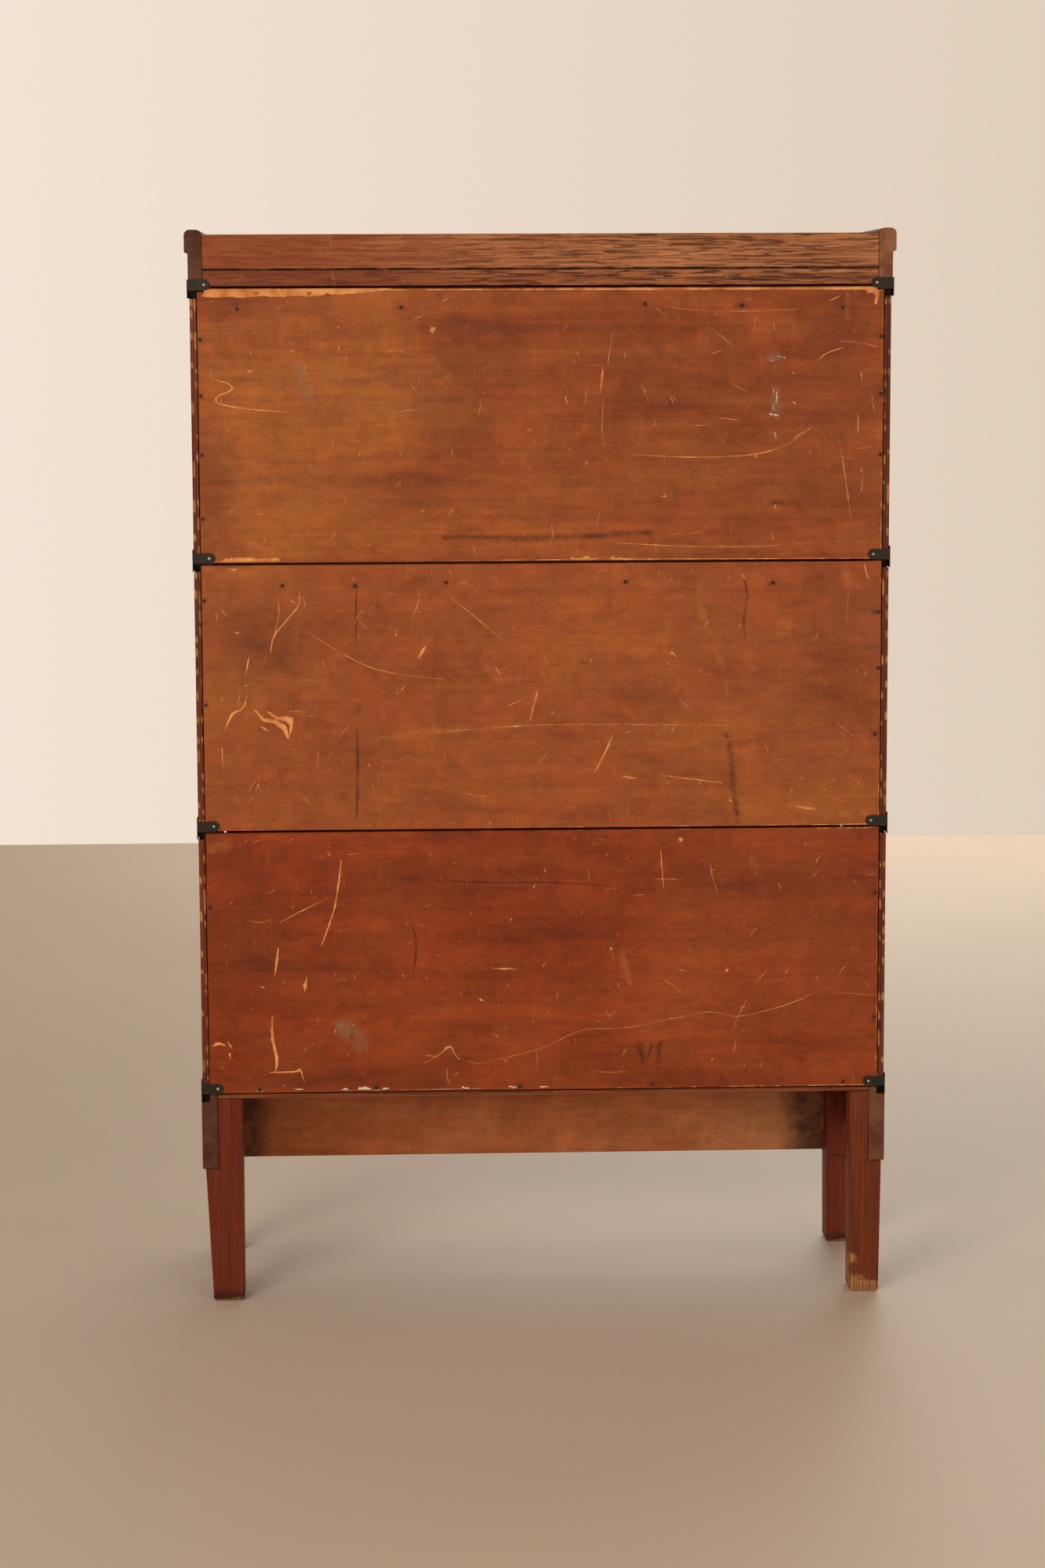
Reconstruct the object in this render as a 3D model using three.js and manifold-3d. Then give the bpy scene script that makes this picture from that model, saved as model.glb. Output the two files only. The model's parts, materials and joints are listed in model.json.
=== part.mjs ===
// A sectional barrister bookcase: a base on four legs, three stacked sections with lift-and-slide
// glazed doors, and a cap. Millimetres, +Z up, doors facing -Y, boarded back facing +Y.
// The origin is on the floor, at the middle of the bookcase's bounding box.

import * as THREE from 'three';
import Module from 'manifold-3d';
import { mergeVertices } from 'three/addons/utils/BufferGeometryUtils.js';
import { RoundedBoxGeometry } from 'three/addons/geometries/RoundedBoxGeometry.js';

const wasm = await Module();
wasm.setup();

// ---------------------------------------------------------------- driving dimensions

const WIDTH = 864;                // over the outer faces of the section sides
const DEPTH = 286;                // front edge to back edge of a section side
const BASE_HEIGHT = 268;          // floor to the underside of the lowest section
const SECTION_HEIGHT = 335;       // pitch of the stacked sections
const SECTION_NAMES = ['lower', 'middle', 'upper'];

const GAP = 0.3;                  // clearance left between pieces that touch
const EDGE = 1.2;                 // eased edge on the boards
const THIN_EDGE = 0.8;            // eased edge on the cap's boards and the dust panel

const SIDE_THICKNESS = 18.5;      // section side board
const TONGUE_STEP = 9.3;          // height of the outer rebate at the top of a side
const TONGUE_REBATE = 9.2;        // width of that rebate
const PANEL_THICKNESS = 8;        // back panel
const PANEL_INSET = 9;            // side's outer face to the panel's edge
const PANEL_EDGE_GAP = 1.2;       // slot between the panel's edge and the side's back edge
const PANEL_BOTTOM = 1.6;         // panel edge above the section's underside
const PANEL_TOP = 1.4;            // panel edge below the section's top
const PANEL_TONGUE_GAP = 1.5;     // upper panel's raised edge inside the cap's rails
const PANEL_TONGUE_RISE = 3;      // and above the plane that the cap sits on

const SHELF_THICKNESS = 19;
const SHELF_TOP = 28;             // shelf surface above the section's underside
const SHELF_RAIL_DEPTH = 20;      // front rail worked on the shelf
const SHELF_SET_BACK = 0.8;       // shelf's front behind the side's front edge
const SHELF_NOSE = 3;             // rounding of its front edge

const DOOR_SET_BACK = 1;          // door face behind the side's front edge
const DOOR_THICKNESS = 19;
const DOOR_HALF_WIDTH = 410;
const DOOR_BOTTOM = 29.5;         // above the section's underside
const DOOR_TOP = 332;
const STILE_WIDTH = 44;
const TOP_RAIL_WIDTH = 40;
const BOTTOM_RAIL_WIDTH = 44;
const GLASS_REBATE_WIDTH = 7;
const GLASS_REBATE_DEPTH = 9;
const GLASS_THICKNESS = 3;
const DOOR_TOP_ROUND = 6;         // rounding that lets the top edge swing under the unit above
const PIVOT_BELOW_TOP = 9.5;
const PIVOT_RADIUS = 3.2;
const PIVOT_DEPTH = 9;            // how far a pivot pin enters its stile
const PIN_HOLE_EXTRA = 1;         // hole deeper than the pin

const BAR_BEHIND_PIVOT = 15;      // carriage bar's front face behind the pivot axis
const BAR_THICKNESS = 4;
const BAR_HEIGHT = 14;
const ARM_THICKNESS = 2.3;
const ARM_HEIGHT = 10;
const ROLLER_RADIUS = 4;
const ROLLER_REACH = 5.4;
const GROOVE_DEPTH = 6;
const GROOVE_HEIGHT = 9;

const KNOB_LENGTH = 19;
const KNOB_RADIUS = 9;
const KNOB_SPACING = 560;
const KNOB_ABOVE_DOOR_BOTTOM = 22;
const KNOB_HEAD = 13;             // widest part of the head above the foot
const KNOB_FOOT_HEIGHT = 1.6;
const KNOB_FOOT_SHARE = 0.78;     // radii of the foot and the waist as shares of the head's
const KNOB_WAIST_SHARE = 0.4;

const BAND_THICKNESS = 1.2;       // steel band's sheet
const BAND_DROP = 8.9;            // how far a band hangs over the unit below
const BAND_RISE = 18;             // how far it stands up the unit that carries it
const CAP_BAND_RISE = 13.8;
const TAB_LENGTH = 28;            // rear return of a band
const FRONT_TAB_LENGTH = 14.5;
const TAB_BOTTOM = 1;
const TAB_HEIGHT = 13;

const CAP_HALF_WIDTH = 433.5;     // lower part of the cap's outer faces
const CAP_RAIL_THICKNESS = 17.3;
const CAP_STEP_OUT = 4.2;         // upper part stands out by this much
const CAP_STEP_LOW = 44.5;
const CAP_STEP_HIGH = 47;
const CAP_BEAD_TOP = 74.2;
const CAP_BEAD_RADIUS = 7;
const CAP_BEAD_FALL = 5.2;        // bead's top down to its inner edge
const CAP_BEAD_FALL_WIDTH = 8.2;
const CAP_BOARD_TOP = 68.3;
const CAP_BOARD_SPLIT = 25.75;
const CAP_BOARD_BOTTOM = 5.6;
const CAP_BOARD_THICKNESS = 14;
const CAP_TOP_THICKNESS = 18;
const CAP_TOP_SINK = 0.4;         // top panel below the back boards' top edge

const RAIL_HALF_WIDTH = 433.5;    // outer faces of the base's rails
const RAIL_THICKNESS = 20.3;
const SIDE_RAIL_BOTTOM = 172;
const APRON_BOTTOM = 122;
const RAIL_TONGUE_REBATE = 10.7;  // rebate that leaves a tongue on the base's rails
// Inner and outer faces of a leg, at its top and at its foot. The legs aren't twins.
const RIGHT_LEG = { inner: 388.8, outer: 429.8, footInner: 390.8, footOuter: 427.5 };
const LEG_FACES = {
  rear: {
    left: { inner: 382.5, outer: 429.5, footInner: 383, footOuter: 422 },
    right: RIGHT_LEG,
  },
  front: {
    left: { inner: 394, outer: 429.5, footInner: 394, footOuter: 424 },
    right: RIGHT_LEG,
  },
};
const BLOCK_INNER = { left: 394, right: 388.8 };   // inner faces of the corner blocks
const LEG_TOP = 262.2;
const LEG_DEPTH = 41.5;
const LEG_FRONT_SET_BACK = 4.5;
const LEG_EDGE = 1.6;
const FOOT_CHAMFER = 3;
const DUST_PANEL_THICKNESS = 5.2;
const DUST_PANEL_SET_IN = 0.4;    // its back edge before the rails' ends
const BLOCK_DEPTH = 21;
const BLOCK_BOTTOM = 126;

const BAR_SIDES = 24;             // facets of round bars
const SMALL_BAR_SIDES = 16;       // facets of pins and rollers

// ---------------------------------------------------------------- derived places

const HALF = WIDTH / 2;
const INNER = HALF - SIDE_THICKNESS;
const KNOB_REACH = KNOB_LENGTH + GAP - DOOR_SET_BACK;
const TAB_PROUD = GAP + BAND_THICKNESS;
const BACK = (DEPTH + KNOB_REACH - TAB_PROUD) / 2;
const FRONT = BACK - DEPTH;
const CAP_PLANE = BASE_HEIGHT + SECTION_NAMES.length * SECTION_HEIGHT;
const PANEL_HALF = HALF - PANEL_INSET;
const PANEL_FRONT = BACK - PANEL_THICKNESS;
const DOOR_FRONT = FRONT + DOOR_SET_BACK;
const DOOR_BACK = DOOR_FRONT + DOOR_THICKNESS;
const PIVOT_Y = DOOR_FRONT + DOOR_THICKNESS / 2;
const BAR_BACK = PIVOT_Y + BAR_BEHIND_PIVOT + BAR_THICKNESS;
const FAR = 1000;                 // longer than any piece, for cutting tools
const TOP_FAR = 2000;             // higher than any piece

const sectionFloor = (level) => BASE_HEIGHT + level * SECTION_HEIGHT;
const pivotHeight = (level) => sectionFloor(level) + DOOR_TOP - PIVOT_BELOW_TOP;

// ---------------------------------------------------------------- finishes

const finish = (color, roughness, metalness = 0) => ({ color, roughness, metalness });
const FINISHES = {
  side: finish(0x5a2f1a, 0.55),
  shelf: finish(0x7a4a26, 0.55),
  panel: finish(0x8a4322, 0.5),
  cap: finish(0x7c4526, 0.6),
  base: finish(0x5e2c1a, 0.55),
  door: finish(0x8a5228, 0.45),
  steel: finish(0x2e2d29, 0.5, 0.7),
  brass: finish(0xa98646, 0.35, 1),
  glass: finish(0xcfdcd8, 0.05),
};

// ---------------------------------------------------------------- solid helpers

function toSolid(geometry) {
  const bare = geometry.clone();
  for (const name of Object.keys(bare.attributes)) {
    if (name !== 'position') bare.deleteAttribute(name);
  }
  const merged = mergeVertices(bare, 1e-4);
  return new wasm.Manifold(new wasm.Mesh({
    numProp: 3,
    vertProperties: new Float32Array(merged.attributes.position.array),
    triVerts: new Uint32Array(merged.index.array),
  }));
}

function toGeometry(solid) {
  const { vertProperties, triVerts } = solid.getMesh();
  const geometry = new THREE.BufferGeometry();
  geometry.setAttribute('position', new THREE.BufferAttribute(new Float32Array(vertProperties), 3));
  geometry.setIndex(new THREE.BufferAttribute(new Uint32Array(triVerts), 1));
  geometry.computeVertexNormals();
  return geometry;
}

// A box given by its low and high values on each axis; ease > 0 gives it eased edges.
function block([x0, x1], [y0, y1], [z0, z1], ease = 0) {
  const size = [x1 - x0, y1 - y0, z1 - z0];
  const geometry = ease > 0
    ? new RoundedBoxGeometry(...size, 1, ease)
    : new THREE.BoxGeometry(...size);
  geometry.translate((x0 + x1) / 2, (y0 + y1) / 2, (z0 + z1) / 2);
  return toSolid(geometry);
}

// The same, mirrored to the side named by sign (+1 for +X, -1 for -X).
function sideBlock(sign, [x0, x1], y, z, ease = 0) {
  return block(sign > 0 ? [x0, x1] : [-x1, -x0], y, z, ease);
}

// A round bar along X or Y, between two values on that axis, centred on the other two.
function roundBar(axis, [from, to], centre, radius, sides = BAR_SIDES) {
  const geometry = new THREE.CylinderGeometry(radius, radius, to - from, sides);
  if (axis === 'x') geometry.rotateZ(Math.PI / 2);
  const middle = (from + to) / 2;
  const place = axis === 'x' ? [middle, centre[0], centre[1]] : [centre[0], middle, centre[1]];
  geometry.translate(...place);
  return toSolid(geometry);
}

// An outline drawn in (x, z) and run along Y from y0 to y1; ease rounds its two ends.
function runAlongY(shape, [y0, y1], ease = 0) {
  const geometry = new THREE.ExtrudeGeometry(shape, {
    depth: y1 - y0 - 2 * ease,
    bevelEnabled: ease > 0,
    bevelThickness: ease,
    bevelSize: ease,
    bevelOffset: -ease,
    bevelSegments: 2,
    curveSegments: 6,
  });
  geometry.rotateX(Math.PI / 2);
  geometry.translate(0, y1 - ease, 0);
  return toSolid(geometry);
}

// An outline drawn in (y, z) and run along X from x0 to x1.
function runAlongX(shape, [x0, x1]) {
  const geometry = new THREE.ExtrudeGeometry(shape, {
    depth: x1 - x0,
    bevelEnabled: false,
    curveSegments: 6,
  });
  geometry.rotateX(Math.PI / 2);
  geometry.rotateZ(Math.PI / 2);
  geometry.translate(x0, 0, 0);
  return toSolid(geometry);
}

function outline(points) {
  return new THREE.Shape(points.map(([a, b]) => new THREE.Vector2(a, b)));
}

const bookcase = new THREE.Group();

function add(name, solid, look) {
  const mesh = new THREE.Mesh(toGeometry(solid), new THREE.MeshStandardMaterial(look));
  mesh.name = name;
  bookcase.add(mesh);
}

const SIDES = [['left', 1], ['right', -1]];   // as seen from behind

// ---------------------------------------------------------------- sections

function sideBoard(level, sign) {
  const z0 = sectionFloor(level);
  const top = z0 + SECTION_HEIGHT;
  const pivotZ = pivotHeight(level);
  const board = sideBlock(sign, [INNER, HALF], [FRONT, BACK], [z0 + GAP / 2, top - GAP / 2], EDGE);
  const topRebate = sideBlock(sign, [HALF - TONGUE_REBATE, FAR], [-FAR, FAR], [top - TONGUE_STEP, TOP_FAR]);
  const panelRebate = sideBlock(
    sign, [0, PANEL_HALF + PANEL_EDGE_GAP], [PANEL_FRONT - GAP, FAR], [0, TOP_FAR]);
  const groove = sideBlock(
    sign, [0, INNER + GROOVE_DEPTH], [PIVOT_Y - ROLLER_RADIUS - GAP, FAR],
    [pivotZ - GROOVE_HEIGHT / 2, pivotZ + GROOVE_HEIGHT / 2]);
  return board.subtract(topRebate).subtract(panelRebate).subtract(groove);
}

// Shelf board with a deeper front rail, the front edge softened.
function shelf(level) {
  const z0 = sectionFloor(level);
  const low = z0 + GAP * 1.5;
  const top = z0 + SHELF_TOP;
  const front = FRONT + SHELF_SET_BACK;
  const profile = new THREE.Shape();
  profile.moveTo(front, low);
  profile.lineTo(front + SHELF_RAIL_DEPTH, low);
  profile.lineTo(front + SHELF_RAIL_DEPTH, top - SHELF_THICKNESS);
  profile.lineTo(PANEL_FRONT - 2 * GAP, top - SHELF_THICKNESS);
  profile.lineTo(PANEL_FRONT - 2 * GAP, top);
  profile.lineTo(front + SHELF_NOSE, top);
  profile.absarc(front + SHELF_NOSE, top - SHELF_NOSE, SHELF_NOSE, Math.PI / 2, Math.PI, false);
  profile.lineTo(front, low);
  return runAlongX(profile, [-INNER + GAP, INNER - GAP]);
}

// Back panel in the sides' rebates. The upper one's top edge stands a little higher, between
// the cap's rails.
function backPanel(level) {
  const z0 = sectionFloor(level);
  const topLevel = level === SECTION_NAMES.length - 1;
  const sheet = (halfWidth, z) => block([-halfWidth, halfWidth], [PANEL_FRONT, BACK], z, EDGE);
  const panel = sheet(PANEL_HALF, [z0 + PANEL_BOTTOM, z0 + SECTION_HEIGHT - PANEL_TOP]);
  if (!topLevel) return panel;
  const tongueHalf = CAP_HALF_WIDTH - CAP_RAIL_THICKNESS - PANEL_TONGUE_GAP;
  return panel.add(sheet(tongueHalf, [z0 + SECTION_HEIGHT / 2, CAP_PLANE + PANEL_TONGUE_RISE]));
}

// ---------------------------------------------------------------- doors

function doorEnvelope(level) {
  const z0 = sectionFloor(level);
  const bottom = z0 + DOOR_BOTTOM;
  const top = z0 + DOOR_TOP;
  const r = DOOR_TOP_ROUND;
  const profile = new THREE.Shape();
  profile.moveTo(DOOR_FRONT + EDGE, bottom);
  profile.lineTo(DOOR_BACK - EDGE, bottom);
  profile.lineTo(DOOR_BACK, bottom + EDGE);
  profile.lineTo(DOOR_BACK, top - EDGE);
  profile.lineTo(DOOR_BACK - EDGE, top);
  profile.lineTo(DOOR_FRONT + r, top);
  profile.absarc(DOOR_FRONT + r, top - r, r, Math.PI / 2, Math.PI, false);
  profile.lineTo(DOOR_FRONT, bottom + EDGE);
  profile.lineTo(DOOR_FRONT + EDGE, bottom);
  return runAlongX(profile, [-DOOR_HALF_WIDTH, DOOR_HALF_WIDTH]);
}

// Rebate for the glass, cut in the back of the whole frame, wider than the sight opening.
function glassSpace(level, clearance) {
  const z0 = sectionFloor(level);
  const halfWidth = DOOR_HALF_WIDTH - STILE_WIDTH + GLASS_REBATE_WIDTH - clearance;
  const low = z0 + DOOR_BOTTOM + BOTTOM_RAIL_WIDTH - GLASS_REBATE_WIDTH + clearance;
  const high = z0 + DOOR_TOP - TOP_RAIL_WIDTH + GLASS_REBATE_WIDTH - clearance;
  return { x: [-halfWidth, halfWidth], z: [low, high] };
}

function doorMember(level, xRange, zRange) {
  const space = glassSpace(level, 0);
  const rebate = block(space.x, [DOOR_BACK - GLASS_REBATE_DEPTH, FAR], space.z);
  return doorEnvelope(level).intersect(block(xRange, [-FAR, FAR], zRange)).subtract(rebate);
}

function doorStile(level, sign) {
  const inner = DOOR_HALF_WIDTH - STILE_WIDTH;
  const xRange = sign > 0 ? [inner, FAR] : [-FAR, -inner];
  const pinHole = roundBar('x', [-FAR, FAR], [PIVOT_Y, pivotHeight(level)], PIVOT_RADIUS + GAP);
  const nearEnd = sideBlock(sign, [DOOR_HALF_WIDTH - PIVOT_DEPTH - PIN_HOLE_EXTRA, FAR], [-FAR, FAR], [0, TOP_FAR]);
  return doorMember(level, xRange, [0, TOP_FAR]).subtract(pinHole.intersect(nearEnd));
}

function doorRail(level, isTop) {
  const z0 = sectionFloor(level);
  const half = DOOR_HALF_WIDTH - STILE_WIDTH - GAP;
  const zRange = isTop
    ? [z0 + DOOR_TOP - TOP_RAIL_WIDTH, TOP_FAR]
    : [0, z0 + DOOR_BOTTOM + BOTTOM_RAIL_WIDTH];
  return doorMember(level, [-half, half], zRange);
}

function doorGlass(level) {
  const space = glassSpace(level, 2 * GAP);
  const front = DOOR_BACK - GLASS_REBATE_DEPTH + GAP;
  return block(space.x, [front, front + GLASS_THICKNESS], space.z);
}

// Turned knob: a foot, a waist and a rounded head, turned about its own axis along -Y.
function knob(level, x) {
  const r = KNOB_RADIUS;
  const profile = new THREE.Path();
  profile.moveTo(0, 0);
  const foot = r * KNOB_FOOT_SHARE;
  const waist = r * KNOB_WAIST_SHARE;
  profile.lineTo(foot, 0);
  profile.lineTo(foot, KNOB_FOOT_HEIGHT);
  profile.quadraticCurveTo(waist, 2 * KNOB_FOOT_HEIGHT, waist, KNOB_HEAD - r * 2 / 3);
  profile.bezierCurveTo(r * 2 / 3, KNOB_HEAD - r / 3, r, KNOB_HEAD - r / 3, r, KNOB_HEAD);
  profile.bezierCurveTo(r, KNOB_HEAD + r / 2, r * 2 / 3, KNOB_LENGTH, 0, KNOB_LENGTH);
  const points = profile.getPoints(5);
  points[0].x = 0;
  points[points.length - 1].x = 0;
  const geometry = new THREE.LatheGeometry(points, 24);
  const z = sectionFloor(level) + DOOR_BOTTOM + KNOB_ABOVE_DOOR_BOTTOM;
  geometry.rotateX(Math.PI);
  geometry.translate(x, DOOR_FRONT - GAP, z);
  return toSolid(geometry);
}

// Steel carriage behind the door's top edge: a bar, two arms, two pivot pins that the door
// hangs on, and four rollers that run in the sides' grooves.
function carriage(level) {
  const pivotZ = pivotHeight(level);
  const outer = INNER - 2 * GAP;
  const armInner = outer - ARM_THICKNESS;
  let solid = block(
    [-outer, outer], [PIVOT_Y + BAR_BEHIND_PIVOT, BAR_BACK],
    [pivotZ - BAR_HEIGHT / 2, pivotZ + BAR_HEIGHT / 2]);
  for (const [, sign] of SIDES) {
    const armZ = [pivotZ - ARM_HEIGHT / 2, pivotZ + ARM_HEIGHT / 2];
    solid = solid.add(sideBlock(sign, [armInner, outer], [PIVOT_Y - ARM_HEIGHT / 2, BAR_BACK], armZ));
    const span = (a, b) => (sign > 0 ? [a, b] : [-b, -a]);
    const pin = span(DOOR_HALF_WIDTH - PIVOT_DEPTH, outer);
    solid = solid.add(roundBar('x', pin, [PIVOT_Y, pivotZ], PIVOT_RADIUS, SMALL_BAR_SIDES));
    for (const y of [PIVOT_Y, PIVOT_Y + BAR_BEHIND_PIVOT]) {
      const roller = span(armInner, outer + ROLLER_REACH);
      solid = solid.add(roundBar('x', roller, [y, pivotZ], ROLLER_RADIUS, SMALL_BAR_SIDES));
    }
  }
  return solid;
}

// ---------------------------------------------------------------- steel bands

// A strip along the side with a return round the back edge and a shorter one round the front.
function band(sign, face, joint, rise) {
  const inner = face + GAP;
  const outer = inner + BAND_THICKNESS;
  const back = [BACK + GAP, BACK + GAP + BAND_THICKNESS];
  const front = [FRONT - GAP - BAND_THICKNESS, FRONT - GAP];
  const tabZ = [joint + TAB_BOTTOM, joint + TAB_BOTTOM + TAB_HEIGHT];
  const tabMiddle = (tabZ[0] + tabZ[1]) / 2;
  const round = TAB_HEIGHT / 2;
  let solid = sideBlock(sign, [inner, outer], [front[0], back[1]], [joint - BAND_DROP, joint + rise]);
  for (const [y, length] of [[back, TAB_LENGTH], [front, FRONT_TAB_LENGTH]]) {
    const end = outer - length + round;
    solid = solid.add(sideBlock(sign, [end, outer], y, tabZ));
    solid = solid.add(roundBar('y', y, [sign * end, tabMiddle], round));
  }
  return solid;
}

// ---------------------------------------------------------------- cap

// Section of the cap's mouldings: d runs inwards from the lower outer face, z up from the plane
// that the cap sits on.
function capProfile(place) {
  const shape = new THREE.Shape();
  const p = (d, z) => [place(d), CAP_PLANE + z];
  const out = -CAP_STEP_OUT;
  const inner = CAP_RAIL_THICKNESS;
  const r = CAP_BEAD_RADIUS;
  const arc = (cd, cz, rd, rz, from, to, steps) => {
    for (let i = 0; i <= steps; i += 1) {
      const a = from + (to - from) * i / steps;
      shape.lineTo(...p(cd + rd * Math.cos(a), cz + rz * Math.sin(a)));
    }
  };
  shape.moveTo(...p(0, GAP / 2));
  shape.lineTo(...p(inner, GAP / 2));
  arc(inner - CAP_BEAD_FALL_WIDTH, CAP_BEAD_TOP - CAP_BEAD_FALL, CAP_BEAD_FALL_WIDTH, CAP_BEAD_FALL,
    0, Math.PI / 2, 6);
  arc(out + r, CAP_BEAD_TOP - r, r, r, Math.PI / 2, Math.PI, 8);
  shape.lineTo(...p(out, CAP_STEP_HIGH));
  shape.lineTo(...p(0, CAP_STEP_LOW));
  shape.lineTo(...p(0, GAP / 2));
  return shape;
}

// Prism that holds everything on the front side of the mitre plane at one front corner.
function mitreTool(sign, shift) {
  const x = sign * CAP_HALF_WIDTH;
  const corner = (reach) => new THREE.Vector2(x - sign * reach, -(FRONT + reach + shift));
  const far = new THREE.Vector2(x - sign * FAR, -(FRONT - FAR * 4));
  const wide = new THREE.Vector2(x + sign * FAR, -(FRONT - FAR * 4));
  const geometry = new THREE.ExtrudeGeometry(new THREE.Shape([corner(FAR), far, wide, corner(-FAR)]), {
    depth: FAR,
    bevelEnabled: false,
  });
  geometry.rotateX(Math.PI);
  geometry.translate(0, 0, CAP_PLANE + FAR / 2);
  return toSolid(geometry);
}

function capSideRail(sign) {
  const rail = runAlongY(capProfile((d) => sign * (CAP_HALF_WIDTH - d)), [FRONT - FAR / 10, BACK]);
  return rail.subtract(mitreTool(sign, GAP));
}

function capFrontMoulding() {
  const long = CAP_HALF_WIDTH + FAR / 10;
  const moulding = runAlongX(capProfile((d) => FRONT + d), [-long, long]);
  return moulding.intersect(mitreTool(1, 0)).intersect(mitreTool(-1, 0));
}

function capBoards() {
  const half = CAP_HALF_WIDTH - CAP_RAIL_THICKNESS - GAP;
  const backY = [BACK - CAP_BOARD_THICKNESS, BACK];
  const plane = (low, high) => [CAP_PLANE + low, CAP_PLANE + high];
  add('cap_back_board_lower', block(
    [-half, half], backY, plane(CAP_BOARD_BOTTOM, CAP_BOARD_SPLIT - GAP / 2), THIN_EDGE), FINISHES.cap);
  add('cap_back_board_upper', block(
    [-half, half], backY, plane(CAP_BOARD_SPLIT + GAP / 2, CAP_BOARD_TOP), THIN_EDGE), FINISHES.cap);
  const topY = [FRONT + CAP_RAIL_THICKNESS + GAP, backY[0] - GAP];
  add('cap_top_panel', block(
    [-half, half], topY, plane(CAP_BOARD_TOP - CAP_TOP_THICKNESS, CAP_BOARD_TOP - CAP_TOP_SINK),
    THIN_EDGE), FINISHES.cap);
}

// ---------------------------------------------------------------- base

function topTongueCut(sign) {
  return sideBlock(sign, [RAIL_HALF_WIDTH - RAIL_TONGUE_REBATE, FAR], [-FAR, FAR], [BASE_HEIGHT - TONGUE_STEP, FAR]);
}

function baseSideRail(sign) {
  const inner = RAIL_HALF_WIDTH - RAIL_THICKNESS;
  const rail = sideBlock(
    sign, [inner, RAIL_HALF_WIDTH], [FRONT + RAIL_THICKNESS + 2 * GAP, BACK],
    [SIDE_RAIL_BOTTOM, BASE_HEIGHT - GAP / 2], EDGE);
  return rail.subtract(topTongueCut(sign));
}

function frontApron() {
  const apron = block(
    [-RAIL_HALF_WIDTH, RAIL_HALF_WIDTH], [FRONT, FRONT + RAIL_THICKNESS],
    [APRON_BOTTOM, BASE_HEIGHT - GAP / 2], EDGE);
  return apron.subtract(topTongueCut(1)).subtract(topTongueCut(-1));
}

// Tapered leg with a shoulder under the side rail.
function legOutline(faces, sign) {
  const { inner, outer, footInner, footOuter } = faces;
  const c = FOOT_CHAMFER;
  const shoulder = SIDE_RAIL_BOTTOM - GAP;
  const railInner = RAIL_HALF_WIDTH - RAIL_THICKNESS - GAP;
  return outline([
    [footInner + c, 0], [footOuter - c, 0], [footOuter, c], [outer, shoulder],
    [railInner, shoulder], [railInner, LEG_TOP], [inner, LEG_TOP], [footInner, c],
  ].map(([x, z]) => [sign * x, z]));
}

function leg(side, sign, isFront) {
  const y = isFront
    ? [FRONT + LEG_FRONT_SET_BACK, FRONT + LEG_FRONT_SET_BACK + LEG_DEPTH]
    : [BACK - LEG_DEPTH, BACK];
  const faces = LEG_FACES[isFront ? 'front' : 'rear'][side];
  const post = runAlongY(legOutline(faces, sign), y, LEG_EDGE);
  if (!isFront) return post;
  const apronSpace = block(
    [-FAR, FAR], [-FAR, FRONT + RAIL_THICKNESS + GAP], [APRON_BOTTOM - GAP, FAR]);
  return post.subtract(apronSpace);
}

function cornerBlock(side, sign) {
  const y0 = FRONT + LEG_FRONT_SET_BACK + LEG_DEPTH + GAP;
  const outer = RAIL_HALF_WIDTH - RAIL_THICKNESS - GAP;
  return sideBlock(sign, [BLOCK_INNER[side], outer], [y0, y0 + BLOCK_DEPTH], [BLOCK_BOTTOM, LEG_TOP], EDGE);
}

function dustPanel() {
  const half = RAIL_HALF_WIDTH - RAIL_THICKNESS - GAP;
  const top = BASE_HEIGHT - GAP / 2;
  return block(
    [-half, half], [FRONT + RAIL_THICKNESS + GAP, BACK - DUST_PANEL_SET_IN],
    [top - DUST_PANEL_THICKNESS, top], THIN_EDGE);
}

// ---------------------------------------------------------------- the whole bookcase

add('base_front_apron', frontApron(), FINISHES.base);
add('base_dust_panel', dustPanel(), FINISHES.shelf);
for (const [side, sign] of SIDES) {
  add(`base_side_rail_${side}`, baseSideRail(sign), FINISHES.base);
  add(`base_leg_rear_${side}`, leg(side, sign, false), FINISHES.base);
  add(`base_leg_front_${side}`, leg(side, sign, true), FINISHES.base);
  add(`base_corner_block_${side}`, cornerBlock(side, sign), FINISHES.shelf);
}

SECTION_NAMES.forEach((name, level) => {
  add(`${name}_shelf`, shelf(level), FINISHES.shelf);
  add(`${name}_back_panel`, backPanel(level), FINISHES.panel);
  add(`${name}_door_carriage`, carriage(level), FINISHES.steel);
  add(`${name}_door_top_rail`, doorRail(level, true), FINISHES.door);
  add(`${name}_door_bottom_rail`, doorRail(level, false), FINISHES.door);
  add(`${name}_door_glass`, doorGlass(level), FINISHES.glass);
  for (const [side, sign] of SIDES) {
    add(`${name}_side_${side}`, sideBoard(level, sign), FINISHES.side);
    add(`${name}_door_stile_${side}`, doorStile(level, sign), FINISHES.door);
    add(`${name}_door_knob_${side}`, knob(level, sign * KNOB_SPACING / 2), FINISHES.brass);
    add(`${name}_band_${side}`, band(sign, HALF, sectionFloor(level), BAND_RISE), FINISHES.steel);
  }
});

capBoards();
add('cap_front_moulding', capFrontMoulding(), FINISHES.cap);
for (const [side, sign] of SIDES) {
  add(`cap_side_rail_${side}`, capSideRail(sign), FINISHES.cap);
  add(`cap_band_${side}`, band(sign, CAP_HALF_WIDTH, CAP_PLANE, CAP_BAND_RISE), FINISHES.steel);
}

export default bookcase;
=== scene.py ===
"""Barrister bookcase: the finished pieces and the studio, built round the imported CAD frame."""

import json
import math
import random

import bmesh
import bpy
import numpy as np
from bpy.props import (
    FloatProperty,
    FloatVectorProperty,
    IntProperty,
    PointerProperty,
)
from mathutils import Matrix, Vector, noise
from mathutils.geometry import delaunay_2d_cdt

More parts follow.
